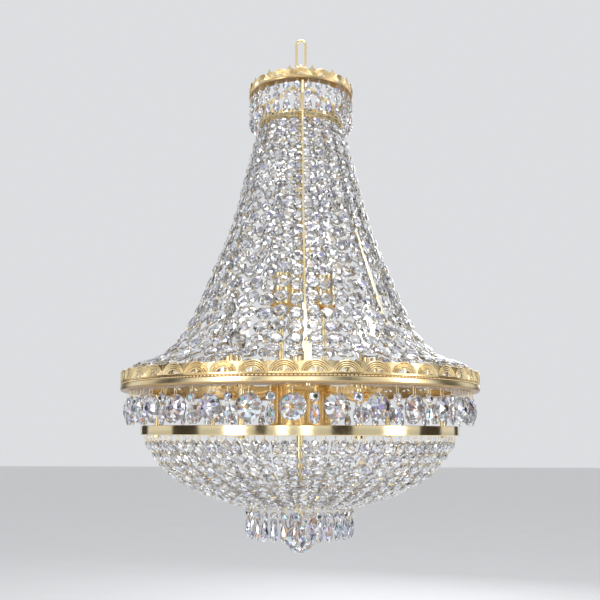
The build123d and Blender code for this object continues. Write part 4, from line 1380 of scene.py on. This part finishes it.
class CHANDELIER_OT_arcades(bpy.types.Operator):
    """Cast the pierced galleries of the crown and the main ring"""
    bl_idname = "chandelier.arcades"
    bl_label = "Galleries"

    def execute(self, context):
        make_arcades()
        return {"FINISHED"}


class CHANDELIER_OT_pendants(bpy.types.Operator):
    """Hang the large crystals and the drops below the main ring"""
    bl_idname = "chandelier.pendants"
    bl_label = "Pendants"

    def execute(self, context):
        hang_pendants()
        return {"FINISHED"}


class CHANDELIER_OT_fringes(bpy.types.Operator):
    """Hang the fringes of the crown and the bottom ring"""
    bl_idname = "chandelier.fringes"
    bl_label = "Fringes"

    def execute(self, context):
        hang_crown_fringe()
        hang_bottom_fringe()
        return {"FINISHED"}


class CHANDELIER_OT_ball(bpy.types.Operator):
    """Hang the faceted ball"""
    bl_idname = "chandelier.ball"
    bl_label = "Ball"

    def execute(self, context):
        hang_ball()
        return {"FINISHED"}


class CHANDELIER_OT_lamps(bpy.types.Operator):
    """Finish the frame, the lamps and what else is shown as built"""
    bl_idname = "chandelier.lamps"
    bl_label = "Frame and lamps"

    def execute(self, context):
        finish_nodes()
        return {"FINISHED"}


class CHANDELIER_OT_stage(bpy.types.Operator):
    """Set the floor, backdrop, lights and camera"""
    bl_idname = "chandelier.stage"
    bl_label = "Stage"

    def execute(self, context):
        build_stage()
        return {"FINISHED"}


STEPS = (CHANDELIER_OT_finishes, CHANDELIER_OT_curtain, CHANDELIER_OT_basket, CHANDELIER_OT_rings,
         CHANDELIER_OT_arcades, CHANDELIER_OT_pendants, CHANDELIER_OT_fringes, CHANDELIER_OT_ball,
         CHANDELIER_OT_lamps, CHANDELIER_OT_stage)
GROUPS = {"chandelier_brass": BrassSettings, "chandelier_crystal": CrystalSettings,
          "chandelier_strands": StrandSettings, "chandelier_gallery": GallerySettings,
          "chandelier_pendants": PendantSettings, "chandelier_stage": StageSettings}


class CHANDELIER_PT_panel(bpy.types.Panel):
    """The chandelier's settings and the steps that make it"""
    bl_label = "Crystal Basket Chandelier"
    bl_idname = "CHANDELIER_PT_panel"
    bl_space_type = "VIEW_3D"
    bl_region_type = "UI"
    bl_category = "Chandelier"

    def draw(self, context):
        for name, group in GROUPS.items():
            column = self.layout.column(align=True)
            for setting in group.__annotations__:
                column.prop(getattr(context.scene, name), setting)
        for step in STEPS:
            self.layout.operator(step.bl_idname)


def register():
    for name, group in GROUPS.items():
        bpy.utils.register_class(group)
        setattr(bpy.types.Scene, name, PointerProperty(type=group))
    for cls in (*STEPS, CHANDELIER_PT_panel):
        bpy.utils.register_class(cls)


def unregister():
    for cls in (CHANDELIER_PT_panel, *reversed(STEPS)):
        bpy.utils.unregister_class(cls)
    for name, group in GROUPS.items():
        delattr(bpy.types.Scene, name)
        bpy.utils.unregister_class(group)


def main():
    register()
    for step in STEPS:
        getattr(bpy.ops.chandelier, step.bl_idname.split(".")[1])()


if __name__ == "__main__":
    main()
